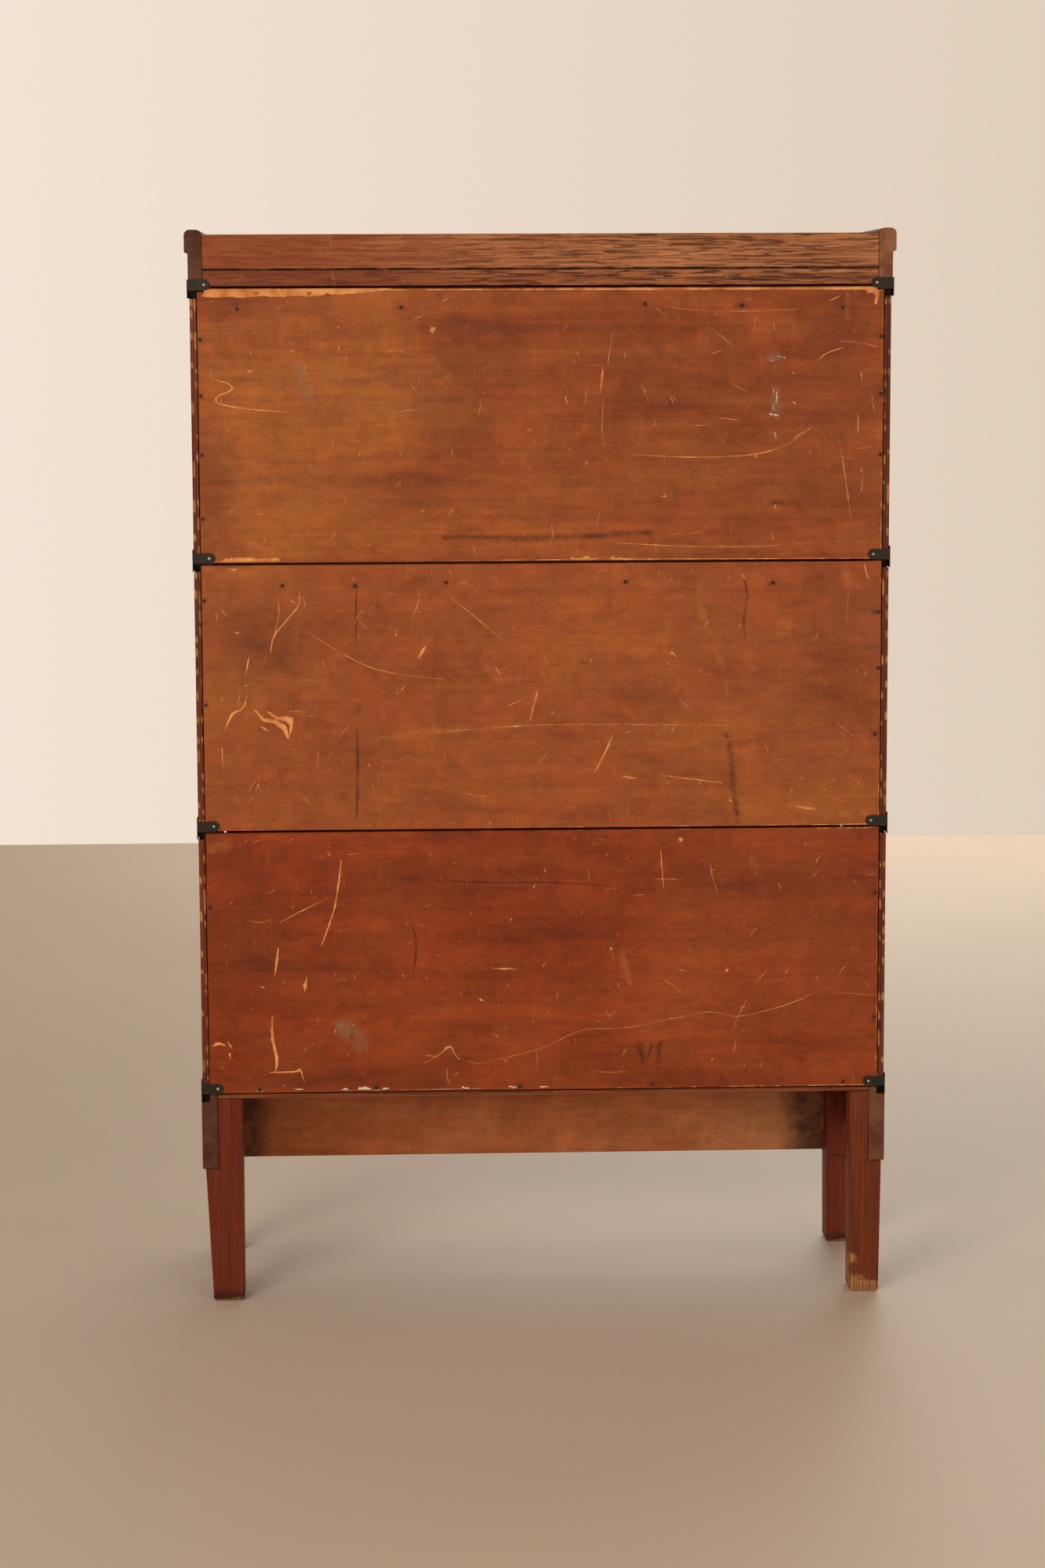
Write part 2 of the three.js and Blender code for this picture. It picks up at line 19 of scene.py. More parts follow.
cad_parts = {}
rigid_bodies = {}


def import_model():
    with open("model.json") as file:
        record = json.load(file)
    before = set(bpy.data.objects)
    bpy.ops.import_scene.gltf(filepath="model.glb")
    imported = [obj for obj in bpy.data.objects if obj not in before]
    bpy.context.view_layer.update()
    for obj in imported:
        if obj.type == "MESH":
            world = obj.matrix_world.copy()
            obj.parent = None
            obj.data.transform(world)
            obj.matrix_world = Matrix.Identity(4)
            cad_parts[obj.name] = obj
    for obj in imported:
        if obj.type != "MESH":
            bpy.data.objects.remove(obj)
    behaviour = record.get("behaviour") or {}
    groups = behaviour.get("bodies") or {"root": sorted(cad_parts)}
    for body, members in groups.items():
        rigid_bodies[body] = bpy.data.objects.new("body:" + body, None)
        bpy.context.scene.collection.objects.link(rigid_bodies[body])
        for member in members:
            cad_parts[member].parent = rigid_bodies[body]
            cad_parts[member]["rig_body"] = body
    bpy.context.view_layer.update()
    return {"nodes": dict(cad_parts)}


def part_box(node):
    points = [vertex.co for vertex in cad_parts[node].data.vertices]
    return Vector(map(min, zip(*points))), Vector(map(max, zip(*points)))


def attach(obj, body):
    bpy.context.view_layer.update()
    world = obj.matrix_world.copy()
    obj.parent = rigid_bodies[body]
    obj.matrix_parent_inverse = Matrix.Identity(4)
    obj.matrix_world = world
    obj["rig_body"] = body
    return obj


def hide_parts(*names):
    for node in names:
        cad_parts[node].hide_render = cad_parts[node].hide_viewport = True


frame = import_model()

bl_info = {
    "name": "Barrister bookcase",
    "version": (1, 0, 0),
    "blender": (4, 5, 0),
    "location": "3D View > Sidebar > Bookcase",
    "description": "Builds the worn wood, glass and hardware of a three-section barrister bookcase",
    "category": "Object",
}

MM = 0.001
LEVELS = ("lower", "middle", "upper")
BAND_LEVELS = (*LEVELS, "cap")
SIDES = ("left", "right")
CABINET = "cabinet"
PANEL_LIFT = 1.6  # a back panel's lower edge above its section's underside, in millimetres
CAP_JOINT = 1273 * MM  # height of the cap's underside
SHELF_RAIL = 21 * MM  # depth of a shelf's front rail
CHIP_DEPTH = 1.3 * MM
CHIP_WIDTH = 3.2 * MM
DEEP_NICKS = 0.05  # share of a corner's points that take a deep nick
DEEPEST_NICK = 1.6  # times the common nick


# ---------------------------------------------------------------- settings

def colour_prop(name, description, r, g, b):
    return FloatVectorProperty(
        name=name, description=description, subtype="COLOR_GAMMA", size=3,
        default=(r / 255, g / 255, b / 255), min=0.0, max=1.0,
    )


def length_prop(name, description, millimetres):
    return FloatProperty(
        name=name, description=description, subtype="DISTANCE", unit="LENGTH",
        default=millimetres * MM, min=0.0,
    )


def power_prop(name, description, watts):
    return FloatProperty(
        name=name, description=description, subtype="POWER", unit="POWER", default=watts, min=0,
    )


class BOOKCASE_PG_finish(bpy.types.PropertyGroup):
    panel_dark: colour_prop("Panel dark", "Darkest stain on the back panels", 96, 44, 24)
    panel_mid: colour_prop("Panel middle", "Main stain on the back panels", 148, 70, 26)
    panel_light: colour_prop("Panel light", "Rubbed stain on the back panels", 178, 104, 44)
    middle_mid: colour_prop("Middle panel", "Main stain on the middle back panel", 154, 76, 32)
    low_dark: colour_prop("Low panel dark", "Darkest stain on the lowest back panel", 82, 33, 12)
    low_mid: colour_prop("Low panel middle", "Main stain on the lowest back panel", 138, 54, 15)
    low_light: colour_prop("Low panel light", "Rubbed stain on the lowest back panel", 160, 78, 30)
    oak_dark: colour_prop("Oak dark", "Grain lines of the stained oak", 48, 22, 13)
    oak_mid: colour_prop("Oak middle", "Main colour of the stained oak", 104, 42, 18)
    oak_light: colour_prop("Oak light", "Light growth of the stained oak", 134, 66, 34)
    inside_mid: colour_prop("Inside wood", "Main colour of the unpolished inside faces", 128, 68, 36)
    cap_mid: colour_prop("Cap middle", "Main colour of the dull cap boards", 176, 110, 66)
    cap_light: colour_prop("Cap light", "Light growth of the cap boards", 204, 142, 94)
    cap_low: colour_prop("Cap lower board", "Main colour of the lower cap board", 160, 92, 50)
    cap_low_red: colour_prop("Cap lower red", "Lower cap board on the left from behind", 116, 48, 18)
    cap_red: colour_prop("Cap red", "Upper cap board on the left from behind", 140, 62, 26)
    # painted light: the apron's back face is made brighter than the oak so that it looks lit from the front,
    # though it sits in the shade under the case
    apron_painted_light_mid: colour_prop("Apron back", "Main colour of the plain back of the apron", 176, 96, 50)
    bare: colour_prop("Bare wood", "Wood where the finish has gone", 232, 158, 92)
    paint: colour_prop("Paint", "Old paint and plaster specks", 222, 200, 178)
    # grime is real dirt, and also the colour of painted shade: the strips behind the bands and the shadow
    # beside the legs on the apron's back
    grime_and_shade: colour_prop("Grime", "Water marks and dirt", 44, 22, 14)
    iron: colour_prop("Iron", "Dark lacquered iron of the bands", 44, 38, 32)
    rust: colour_prop("Rust", "Brown rust on the iron", 96, 60, 38)
    brass: colour_prop("Brass", "Aged brass of the knobs", 168, 126, 66)
    steel: colour_prop("Steel", "Door carriages", 118, 112, 104)


class BOOKCASE_PG_wear(bpy.types.PropertyGroup):
    ease: length_prop("Edge easing", "Width of the eased corners of the boards", 0.7)
    nick: length_prop("Nick depth", "Deepest common nick in a corner", 1.1)
    cut_step: length_prop("Nick spacing", "Distance between nicks along a board", 16)
    scratch: length_prop("Scratch depth", "Depth of a scratch in a back panel", 0.3)
    peel: length_prop("Peel depth", "Thickness of the veneer lost at the top", 0.9)
    stray: IntProperty(
        name="Stray scratches", description="Fine random scratches on each back panel", default=130, min=0)
    seed: IntProperty(name="Seed", description="Seed of all random wear", default=7, min=0)


class BOOKCASE_PG_hardware(bpy.types.PropertyGroup):
    nail: length_prop("Nail head", "Head diameter of the back panel nails", 4.6)
    nail_rise: length_prop("Nail rise", "Height of a nail head above the wood", 0.7)
    band_nail: length_prop("Band nail head", "Head diameter of the nails in the bands", 4.0)
    screw: length_prop("Screw head", "Head diameter of the band screws", 5.6)
    brad: length_prop("Brad head", "Head diameter of the brads in the glazing beads", 1.5)
    knob: length_prop("Knob radius", "Largest radius of a door knob", 9)
    bead: length_prop("Bead width", "Width of the glazing beads behind the glass", 6.6)


class BOOKCASE_PG_studio(bpy.types.PropertyGroup):
    lens: FloatProperty(
        name="Lens", description="Focal length of the camera in millimetres", default=78.6, min=20)
    floor: colour_prop("Floor", "Colour of the floor", 222, 202, 180)
    wall_bright: colour_prop("Wall bright", "Colour of the surroundings on the lit side", 250, 234, 220)
    wall_dim: colour_prop("Wall dim", "Colour of the surroundings away from the light", 222, 204, 184)
    glow: FloatProperty(
        name="Surrounding glow", description="How strongly the surroundings light the bookcase",
        default=0.4, min=0)
    key: power_prop("Key light", "Power of the main light", 105)
    fill: power_prop("Fill light", "Power of the second light", 42)


def settings(kind):
    return getattr(bpy.context.scene, "bookcase_" + kind)


# ---------------------------------------------------------------- materials

def linear(colour):
    """An RGBA in scene-linear values from a display colour."""
    rgb = (c / 12.92 if c <= 0.04045 else ((c + 0.055) / 1.055) ** 2.4 for c in colour)
    return (*rgb, 1.0)


class Shader:
    """A material under construction, with short calls for the nodes that it uses."""

    def __init__(self, name):
        self.material = bpy.data.materials.new(name)
        self.material.use_nodes = True
        self.tree = self.material.node_tree
        self.tree.nodes.clear()
        self.output = self.tree.nodes.new("ShaderNodeOutputMaterial")
        self.object_space = self.tree.nodes.new("ShaderNodeTexCoord").outputs["Object"]

    def node(self, kind, inputs, **settings_):
        made = self.tree.nodes.new(kind)
        for key, value in settings_.items():
            setattr(made, key, value)
        for key, value in inputs.items():
            if isinstance(value, bpy.types.NodeSocket):
                self.tree.links.new(value, made.inputs[key])
            else:
                made.inputs[key].default_value = value
        return made

    def stretched(self, scale, offset=(0, 0, 0), turn=(0, 0, 0)):
        return self.node("ShaderNodeMapping", {
            "Vector": self.object_space, "Scale": scale, "Location": offset, "Rotation": turn,
        }).outputs[0]

    def noise(self, vector, scale, detail=3.0, roughness=0.55, distortion=0.0):
        return self.node("ShaderNodeTexNoise", {
            "Vector": vector, "Scale": scale, "Detail": detail,
            "Roughness": roughness, "Distortion": distortion,
        }).outputs[0]

    def rings(self, vector, scale, distortion, detail, detail_scale, axis):
        return self.node("ShaderNodeTexWave", {
            "Vector": vector, "Scale": scale, "Distortion": distortion,
            "Detail": detail, "Detail Scale": detail_scale,
        }, wave_type="RINGS", rings_direction=axis, wave_profile="SAW").outputs["Fac"]

    def span(self, value, low, high, to_low=0.0, to_high=1.0):
        """value mapped from low..high to to_low..to_high, eased and clamped."""
        return self.node("ShaderNodeMapRange", {
            "Value": value, "From Min": low, "From Max": high,
            "To Min": to_low, "To Max": to_high,
        }, interpolation_type="SMOOTHSTEP").outputs[0]

    def maths(self, operation, a, b=0.0, clamp=False):
        return self.node("ShaderNodeMath", {0: a, 1: b}, operation=operation, use_clamp=clamp).outputs[0]

    def blend(self, factor, a, b, kind="MIX"):
        inputs = {0: factor, 6: a, 7: b}
        return self.node("ShaderNodeMix", inputs, data_type="RGBA", blend_type=kind).outputs[2]

    def ramp(self, value, stops):
        made = self.node("ShaderNodeValToRGB", {0: value})
        elements = made.color_ramp.elements
        while len(elements) < len(stops):
            elements.new(0.5)
        for element, (place, colour) in zip(elements, stops):
            element.position = place
            element.color = colour
        return made.outputs[0]

    def mark(self, name):
        return self.node("ShaderNodeAttribute", {}, attribute_name=name).outputs["Fac"]

    def times(self, a, b, clamp=False):
        return self.maths("MULTIPLY", a, b, clamp)

    def plus(self, a, b, clamp=False):
        return self.maths("ADD", a, b, clamp)

    def tones(self, value, *stops):
        """Display colours at places along a value."""
        return self.ramp(value, [(place, linear(colour)) for place, colour in stops])

    def overlay(self, colour, share, value, dark, light):
        """colour with a pattern laid over it; dark and light are (place, grey level) pairs."""
        stops = [(place, (level, level, level, 1.0)) for place, level in (dark, light)]
        return self.blend(share, colour, self.ramp(value, stops), "OVERLAY")

    def stain(self, colour, name, share, tone, pattern, *limits):
        """colour with a marked stain laid on it, thinned by a pattern."""
        thinned = self.times(self.mark(name), self.span(pattern, *limits))
        return self.blend(self.times(thinned, share, True), colour, linear(tone))

    def broken(self, name, pattern, middle, swing, low, high, floor=0.02, full=0.2):
        """A mark whose edge a pattern breaks up."""
        mark = self.mark(name)
        ragged = self.plus(mark, self.times(self.maths("SUBTRACT", pattern, middle), swing))
        return self.times(self.span(ragged, low, high), self.span(mark, floor, full))

    def specks(self, offset, scale, limits, patch_scale, patch_limits):
        """Small specks that come in patches."""
        speck = self.span(self.noise(self.stretched((1.0, 1.0, 1.0), offset), scale, 2.0, 0.5), *limits)
        return self.times(speck, self.span(self.noise(self.object_space, patch_scale, 2.0), *patch_limits))

    def bump(self, height, strength, distance, normal=None):
        inputs = {"Height": height, "Strength": strength, "Distance": distance}
        if normal is not None:
            inputs["Normal"] = normal
        return self.node("ShaderNodeBump", inputs).outputs[0]

    def finish(self, inputs):
        shader = self.node("ShaderNodeBsdfPrincipled", inputs)
        self.tree.links.new(shader.outputs[0], self.output.inputs["Surface"])
        return self.material


def along(axis, slow, fast, fast_y=None):
    """A scale that stretches a pattern along one axis."""
    scale = [fast, fast_y or fast, fast]
    scale["XYZ".index(axis)] = slow
    return tuple(scale)


# Fixed tints, in display values.
RUBBED_STAIN = (0.74, 0.44, 0.21)
ASHEN_STAIN = (0.53, 0.43, 0.33)
SHADED_BARE = (0.74, 0.42, 0.20)
RUBBED_OAK = (0.66, 0.34, 0.17)
RAW_PORE = (0.42, 0.24, 0.13)
DRY_RIGHT = ((0.42, 0.25, 0.15), (0.58, 0.38, 0.25))
DRY_LEFT = ((0.24, 0.13, 0.08), (0.38, 0.23, 0.15))
LEG_TONES = ((0.33, 0.125, 0.045), (0.415, 0.15, 0.045), (0.48, 0.20, 0.075))
PALE_LEG_TONES = ((0.30, 0.12, 0.05), (0.42, 0.17, 0.06), (0.52, 0.25, 0.10))
# painted shade: the darker colour of the strips that fill the grooves behind the bands
JOINT_SHADE = (0.12, 0.07, 0.045)
BRASS_TARNISH = (0.30, 0.20, 0.09)
NAIL_IRON = (0.24, 0.17, 0.14)
BRIGHT_IRON = (0.66, 0.62, 0.58)


def scaled(colour, share):
    return tuple(min(1.0, c * share) for c in colour)


def stained_panel(name, dark, mid, light, offset, grain=1.0):
    """Thin stained veneer board, its grain along X, with all its marks as attributes."""
    look = settings("finish")
    s = Shader(name)
    # the stain: streaks, then clouds, patches and smoky places
    streak = s.noise(s.stretched(along("X", 1.0, 8.0), offset), 3.2, 6.0, 0.62, 0.5)
    colour = s.tones(streak, (0.30, dark), (0.47, mid), (0.72, light))
    colour = s.blend(1.0 - 0.8 * grain, colour, linear(mid))
    cloud = s.noise(s.stretched((1.0, 1.0, 1.5), offset), 5.5, 7.0, 0.62, 0.6)
    colour = s.blend(s.span(cloud, 0.36, 0.66, 0.0, 0.62), colour, linear(mid))
    shifted = tuple(c + 2.0 for c in offset)
    patch = s.noise(s.stretched((1.0, 1.0, 1.3), shifted), 12.0, 7.0, 0.68, 0.7)
    colour = s.overlay(colour, 0.7, patch, (0.34, 0.37), (0.66, 0.61))
    warm = s.noise(s.stretched((1.0, 1.0, 1.2), (3.7, 1.0, 8.1)), 3.0, 4.0, 0.55)
    colour = s.blend(s.span(warm, 0.45, 0.68, 0.0, 0.5), colour, linear(light))
    smoke = s.noise(s.stretched((1.0, 1.0, 2.6), (9.1, 2.0, 4.4)), 6.0, 8.0, 0.68, 1.2)
    colour = s.blend(s.span(smoke, 0.56, 0.76, 0.0, 0.35 + 0.25 * grain), colour, linear(dark))
    colour = s.stain(colour, "light_tone", 1.0, light, streak, 0.3, 0.6, 0.35, 1.0)
    colour = s.stain(colour, "dark_tone", 1.0, dark, cloud, 0.3, 0.6, 0.4, 1.0)
    # the wood: mottle, veins and fibres along it, faint ribs across it, and pores
    mottle = s.noise(s.stretched((1.0, 1.0, 1.4), offset), 42.0, 6.0, 0.68, 0.8)
    colour = s.overlay(colour, 0.55, mottle, (0.32, 0.36), (0.68, 0.64))
    vein = s.noise(s.stretched(along("X", 2.4, 95.0), offset), 1.0, 4.0, 0.6, 0.4)
    colour = s.overlay(colour, 0.5 * grain, vein, (0.34, 0.38), (0.66, 0.60))
    fibre = s.noise(s.stretched(along("X", 9.0, 520.0)), 1.0, 3.0, 0.6)
    colour = s.overlay(colour, 0.4, fibre, (0.3, 0.40), (0.7, 0.58))
    rib = s.noise(s.stretched((430.0, 60.0, 16.0)), 1.0, 2.0, 0.5)
    colour = s.overlay(colour, 0.28, rib, (0.32, 0.40), (0.68, 0.58))
    pore = s.span(s.noise(s.stretched(along("X", 34.0, 760.0)), 1.0, 2.0, 0.5), 0.62, 0.74)
    colour = s.blend(s.times(pore, 0.45), colour, linear(dark))
    # dirt, rubbed places and ash; on the apron's back the dark mark is painted shadow beside the legs
    grit = s.noise(s.object_space, 150.0, 5.0, 0.7)
    broad = s.noise(s.object_space, 34.0, 4.0, 0.6)
    rough_edge = s.plus(s.times(grit, 0.5), s.times(broad, 0.5))
    colour = s.stain(colour, "dark", 0.66, look.grime_and_shade, broad, 0.3, 0.62, 0.55, 1.25)
    colour = s.stain(colour, "haze", 0.42, RUBBED_STAIN, rough_edge, 0.38, 0.6, 0.25, 1.2)
    colour = s.stain(colour, "ash", 0.62, ASHEN_STAIN, rough_edge, 0.40, 0.58, 0.0, 1.2)
    # bare wood, paint and cracks
    bare = s.broken("raw", rough_edge, 0.5, 1.3, 0.20, 0.42)
    colour = s.blend(bare, colour, s.tones(broad, (0.36, SHADED_BARE), (0.58, look.bare)))
    paint = s.broken("paint", rough_edge, 0.5, 2.2, 0.42, 0.56, 0.04)
    colour = s.blend(paint, colour, linear(look.paint))
    fleck = s.specks((2.2, 5.0, 1.1), 260.0, (0.775, 0.80), 9.0, (0.42, 0.6))
    colour = s.blend(s.times(fleck, 0.85), colour, linear(look.bare))
    colour = s.blend(s.times(s.mark("crack"), 0.9, True), colour, linear(look.grime_and_shade))
    # satin old finish, dull where bare
    rough = s.span(smoke, 0.3, 0.75, 0.40, 0.56)
    rough = s.plus(rough, s.times(s.plus(bare, paint), 0.25), True)
    normal = s.bump(s.noise(s.stretched((2.0, 2.0, 6.0), offset), 9.0, 3.0, 0.5), 0.35, 0.0016)
    normal = s.bump(fibre, 0.22, 0.0004, normal)
    normal = s.bump(rib, 0.15, 0.0004, normal)
    return s.finish({
        "Base Color": colour, "Roughness": rough, "Normal": normal, "Specular IOR Level": 0.17,
    })


def oak(name, axis, dark, mid, light, figure=1.0, gloss=0.42, offset=(0, 0, 0),
        pores=0.5, dashes=0.0, fade=None):
    """Stained oak with its grain along one axis: growth lines, pores, rays, and wear by attribute."""
    look = settings("finish")
    s = Shader(name)
    # growth lines and clouds of stain
    growth = s.rings(s.stretched(along(axis, 0.9, 30.0), offset), 1.6, 5.0, 4.0, 1.3, axis)
    streak = s.noise(s.stretched(along(axis, 1.2, 30.0), offset), 2.0, 5.0, 0.6, 0.5)
    fine = s.noise(s.stretched(along(axis, 6.0, 230.0), offset), 1.0, 5.0, 0.62, 0.3)
    lines = s.plus(s.times(growth, 0.16 * figure), s.times(streak, 0.30))
    lines = s.plus(lines, s.times(fine, 0.70 - 0.16 * figure))
    colour = s.tones(lines, (0.36, dark), (0.49, mid), (0.66, light))
    cloud = s.noise(s.stretched(along(axis, 1.0, 2.5), offset), 5.0, 6.0, 0.6, 0.8)
    colour = s.blend(s.span(cloud, 0.35, 0.68, 0.05, 0.65), colour, linear(mid))
    smoke = s.noise(s.stretched(along(axis, 1.0, 2.0), (5.1, 2.0, 7.4)), 8.0, 8.0, 0.66, 1.0)
    colour = s.blend(s.span(smoke, 0.56, 0.78, 0.0, 0.6), colour, linear(dark))
    # fibres and pores
    fibre = s.noise(s.stretched(along(axis, 7.0, 460.0), offset), 1.0, 3.0, 0.6)
    colour = s.overlay(colour, 0.6, fibre, (0.3, 0.34), (0.7, 0.64))
    pore = s.span(s.noise(s.stretched(along(axis, 15.0, 420.0), offset), 1.0, 3.0, 0.6, 0.25), 0.53, 0.64)
    pore = s.times(pore, s.span(streak, 0.35, 0.6, 0.25, 1.0))
    colour = s.blend(s.times(pore, pores), colour, linear(scaled(dark, 0.7)))
    if dashes:
        dash = s.noise(s.stretched(along(axis, 24.0, 430.0), offset), 1.0, 4.0, 0.6, 0.6)
        dash = s.times(s.span(dash, 0.49, 0.57), s.span(cloud, 0.3, 0.6, 0.6, 1.0))
        colour = s.blend(s.times(dash, dashes), colour, linear(scaled(dark, 1.1)))
    place = s.node("ShaderNodeSeparateXYZ", {0: s.object_space}).outputs["X"]
    if fade:
        share = s.span(s.plus(place, s.times(cloud, 0.3)), 0.0, 0.5, 0.0, 0.75)
        colour = s.blend(share, colour, linear(fade))
    ray = s.noise(s.stretched(along(axis, 130.0, 42.0, 300.0), offset), 1.0, 2.0, 0.5, 0.6)
    colour = s.blend(s.times(s.span(ray, 0.66, 0.76), 0.16), colour, linear(light))
    # rubbed corners, dry rear ends, bare wood, dirt and paint
    grit = s.noise(s.object_space, 190.0, 5.0, 0.7)
    broad = s.noise(s.object_space, 42.0, 4.0, 0.6)
    worn = s.broken("wear", s.plus(grit, broad), 1.0, 1.1, 0.34, 0.60, 0.02, 0.25)
    colour = s.blend(s.times(worn, 0.8), colour, linear(RUBBED_OAK))
    dull = s.times(s.mark("dull"), s.span(broad, 0.25, 0.6, 0.6, 1.0))
    dry = s.blend(s.span(place, -0.1, 0.1), *(
        s.tones(broad, (0.35, low), (0.65, high)) for low, high in (DRY_RIGHT, DRY_LEFT)
    ))
    colour = s.blend(dull, colour, dry)
    raw = s.broken("raw", broad, 0.5, 1.4, 0.35, 0.65)
    colour = s.blend(raw, colour, s.tones(fibre, (0.3, RAW_PORE), (0.62, scaled(look.bare, 0.8))))
    colour = s.stain(colour, "soil", 0.85, look.grime_and_shade, broad, 0.3, 0.62, 0.5, 1.2)
    paint = s.specks((1.2, 3.0, 6.1), 210.0, (0.765, 0.785), 12.0, (0.50, 0.62))
    colour = s.blend(s.times(paint, 0.8), colour, linear(look.paint))
    rough = s.span(smoke, 0.3, 0.75, gloss, gloss + 0.16)
    rough = s.plus(rough, s.times(s.plus(raw, worn), 0.22), True)
    normal = s.bump(fibre, 0.25, 0.0005)
    normal = s.bump(s.maths("SUBTRACT", 1.0, pore), 0.35, 0.0006, normal)
    return s.finish({
        "Base Color": colour, "Roughness": rough, "Normal": normal, "Specular IOR Level": 0.18,
    })


def joint_shade():
    """Painted shade: dark, dull wood, hardly seen, for the strips that fill the grooves behind the bands."""
    s = Shader("joint_shade")
    dull = s.noise(s.stretched((1.0, 0.3, 1.0)), 60.0, 6.0, 0.66, 0.8)
    return s.finish({
        "Base Color": s.tones(dull, (0.3, settings("finish").grime_and_shade), (0.7, JOINT_SHADE)),
        "Roughness": s.span(dull, 0.3, 0.7, 0.6, 0.8), "Specular IOR Level": 0.3,
    })


def metal(name, base, tarnish, share, roughness, metallic=1.0, grain=60.0):
    """Metal with spots of tarnish, rubbed bright where it is worn."""
    s = Shader(name)
    cloud = s.noise(s.object_space, grain, 6.0, 0.66, 0.6)
    grit = s.noise(s.object_space, grain * 9.0, 4.0, 0.6)
    spots = s.span(s.plus(s.times(cloud, 0.7), s.times(grit, 0.3)), 0.62 - share, 0.66)
    worn = s.times(s.mark("wear"), s.span(grit, 0.4, 0.6))
    colour = s.blend(spots, linear(base), linear(tarnish))
    colour = s.blend(s.times(worn, 0.6), colour, linear(scaled(base, 2.1)))
    return s.finish({
        "Base Color": colour, "Roughness": s.span(cloud, 0.3, 0.7, roughness, roughness + 0.25),
        "Metallic": metallic, "Normal": s.bump(grit, 0.18, 0.0003),
    })


def old_glass():
    """Slightly uneven, dusty glass that lets light through to the shelves."""
    s = Shader("old_glass")
    sway = s.noise(s.stretched((1.0, 1.0, 0.4)), 7.0, 2.0, 0.5)
    dust = s.noise(s.object_space, 18.0, 6.0, 0.65)
    pane = s.node("ShaderNodeBsdfPrincipled", {
        "Base Color": (0.93, 0.97, 0.95, 1.0), "Transmission Weight": 1.0, "IOR": 1.5,
        "Roughness": s.span(dust, 0.45, 0.8, 0.01, 0.07),
        "Normal": s.bump(sway, 0.2, 0.004),
    }).outputs[0]
    clear = s.node("ShaderNodeBsdfTransparent", {"Color": (0.93, 0.96, 0.94, 1.0)}).outputs[0]
    path = s.node("ShaderNodeLightPath", {}).outputs["Is Shadow Ray"]
    mixed = s.node("ShaderNodeMixShader", {0: path, 1: pane, 2: clear}).outputs[0]
    s.tree.links.new(mixed, s.output.inputs["Surface"])
    return s.material


FINISHES = {}


def finish_for(key):
    """The shared material of a family of pieces, made when first asked for."""
    if key not in FINISHES:
        look = settings("finish")
        stained = (look.oak_dark, look.oak_mid, look.oak_light)
        unpolished = (look.oak_dark, look.inside_mid, look.oak_light)
        dull_cap = (look.oak_dark, look.cap_mid, look.cap_light)
        dull_cap_low = (look.oak_dark, look.cap_low, look.cap_light)
        panel = (look.panel_dark, look.panel_mid, look.panel_light)
        panel_middle = (look.panel_dark, look.middle_mid, look.panel_light)
        panel_low = (look.low_dark, look.low_mid, look.low_light)
        # a brighter copy of the oak for the apron's back face: painted light
        apron = (look.oak_light, look.apron_painted_light_mid, look.cap_light)
        cap = {"figure": 0.3, "gloss": 0.5, "pores": 0.35}
        leg = {"figure": 0.3, "pores": 0.35}
        makers = {
            "panel": lambda: stained_panel("stained_veneer", *panel, (0, 0, 0), 0.7),
            "panel_middle": lambda: stained_panel("stained_veneer_middle", *panel_middle, (1.0, 0, 5.0), 0.3),
            "panel_low": lambda: stained_panel("stained_veneer_low", *panel_low, (4.0, 0, 2.0), 0.6),
            # the apron's back face, brightened as painted light
            "apron": lambda: stained_panel("apron_back_painted_light", *apron, (3.0, 0, 1.5), 0.5),
            "side": lambda: oak("oak_upright", "Z", *stained, 0.8),
            "rail": lambda: oak("oak_lengthwise", "X", *stained, 1.0, offset=(0, 0.3, 0.1)),
            "depth": lambda: oak("oak_front_to_back", "Y", *stained, 0.9, 0.5),
            "inside": lambda: oak("inside_wood", "X", *unpolished, 0.5, 0.6, (2.0, 0, 1)),
            "cap": lambda: oak(
                "oak_cap", "X", *dull_cap, offset=(0.4, 0.1, 0.6), dashes=0.75, fade=look.cap_red, **cap),
            "cap_low": lambda: oak(
                "oak_cap_low", "X", *dull_cap_low, offset=(0.9, 0.1, 2.6), dashes=0.85,
                fade=look.cap_low_red, **cap),
            "leg": lambda: oak("oak_leg", "Z", *LEG_TONES, offset=(1.3, 0.2, 0), **leg),
            "leg_pale": lambda: oak("oak_leg_pale", "Z", *PALE_LEG_TONES, offset=(2.3, 0.2, 0), **leg),
            # painted shade for the strips in the grooves behind the bands
            "joint": joint_shade,
            "band": lambda: metal("lacquered_iron", look.iron, look.rust, 0.08, 0.38, 0.75),
            "carriage": lambda: metal("carriage_steel", look.steel, look.rust, 0.04, 0.34),
            "knob": lambda: metal("aged_brass", look.brass, BRASS_TARNISH, 0.08, 0.28, 1.0, 140.0),
            "nail": lambda: metal("nail_iron", NAIL_IRON, look.rust, 0.1, 0.5, 0.7, 300.0),
            "bright_nail": lambda: metal("rubbed_nail", BRIGHT_IRON, look.rust, 0.02, 0.3, 0.9, 300.0),
            "glass": old_glass,
        }
        FINISHES[key] = makers[key]()
    return FINISHES[key]


# ---------------------------------------------------------------- shared making

def add_piece(name, mesh, material, body, slot, *nodes):
    """Links a finished mesh, gives it a material, and ties it to the frame."""
    piece = bpy.data.objects.new(name, mesh)
    bpy.context.scene.collection.objects.link(piece)
    if material is not None:
        mesh.materials.clear()
        mesh.materials.append(material)
    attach(piece, body)
    if nodes:
        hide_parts(*nodes)
    return piece


def store(mesh, name, values):
    attribute = mesh.attributes.get(name) or mesh.attributes.new(name, "FLOAT", "POINT")
    attribute.data.foreach_set("value", np.asarray(values, np.float32))


def body_of(node):
    return frame["nodes"][node]["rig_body"]


def outward(bm, mesh):
    """Writes bm to mesh with its faces pointing outwards."""
    bmesh.ops.recalc_face_normals(bm, faces=bm.faces)
    bm.to_mesh(mesh)
    bm.free()
    return mesh


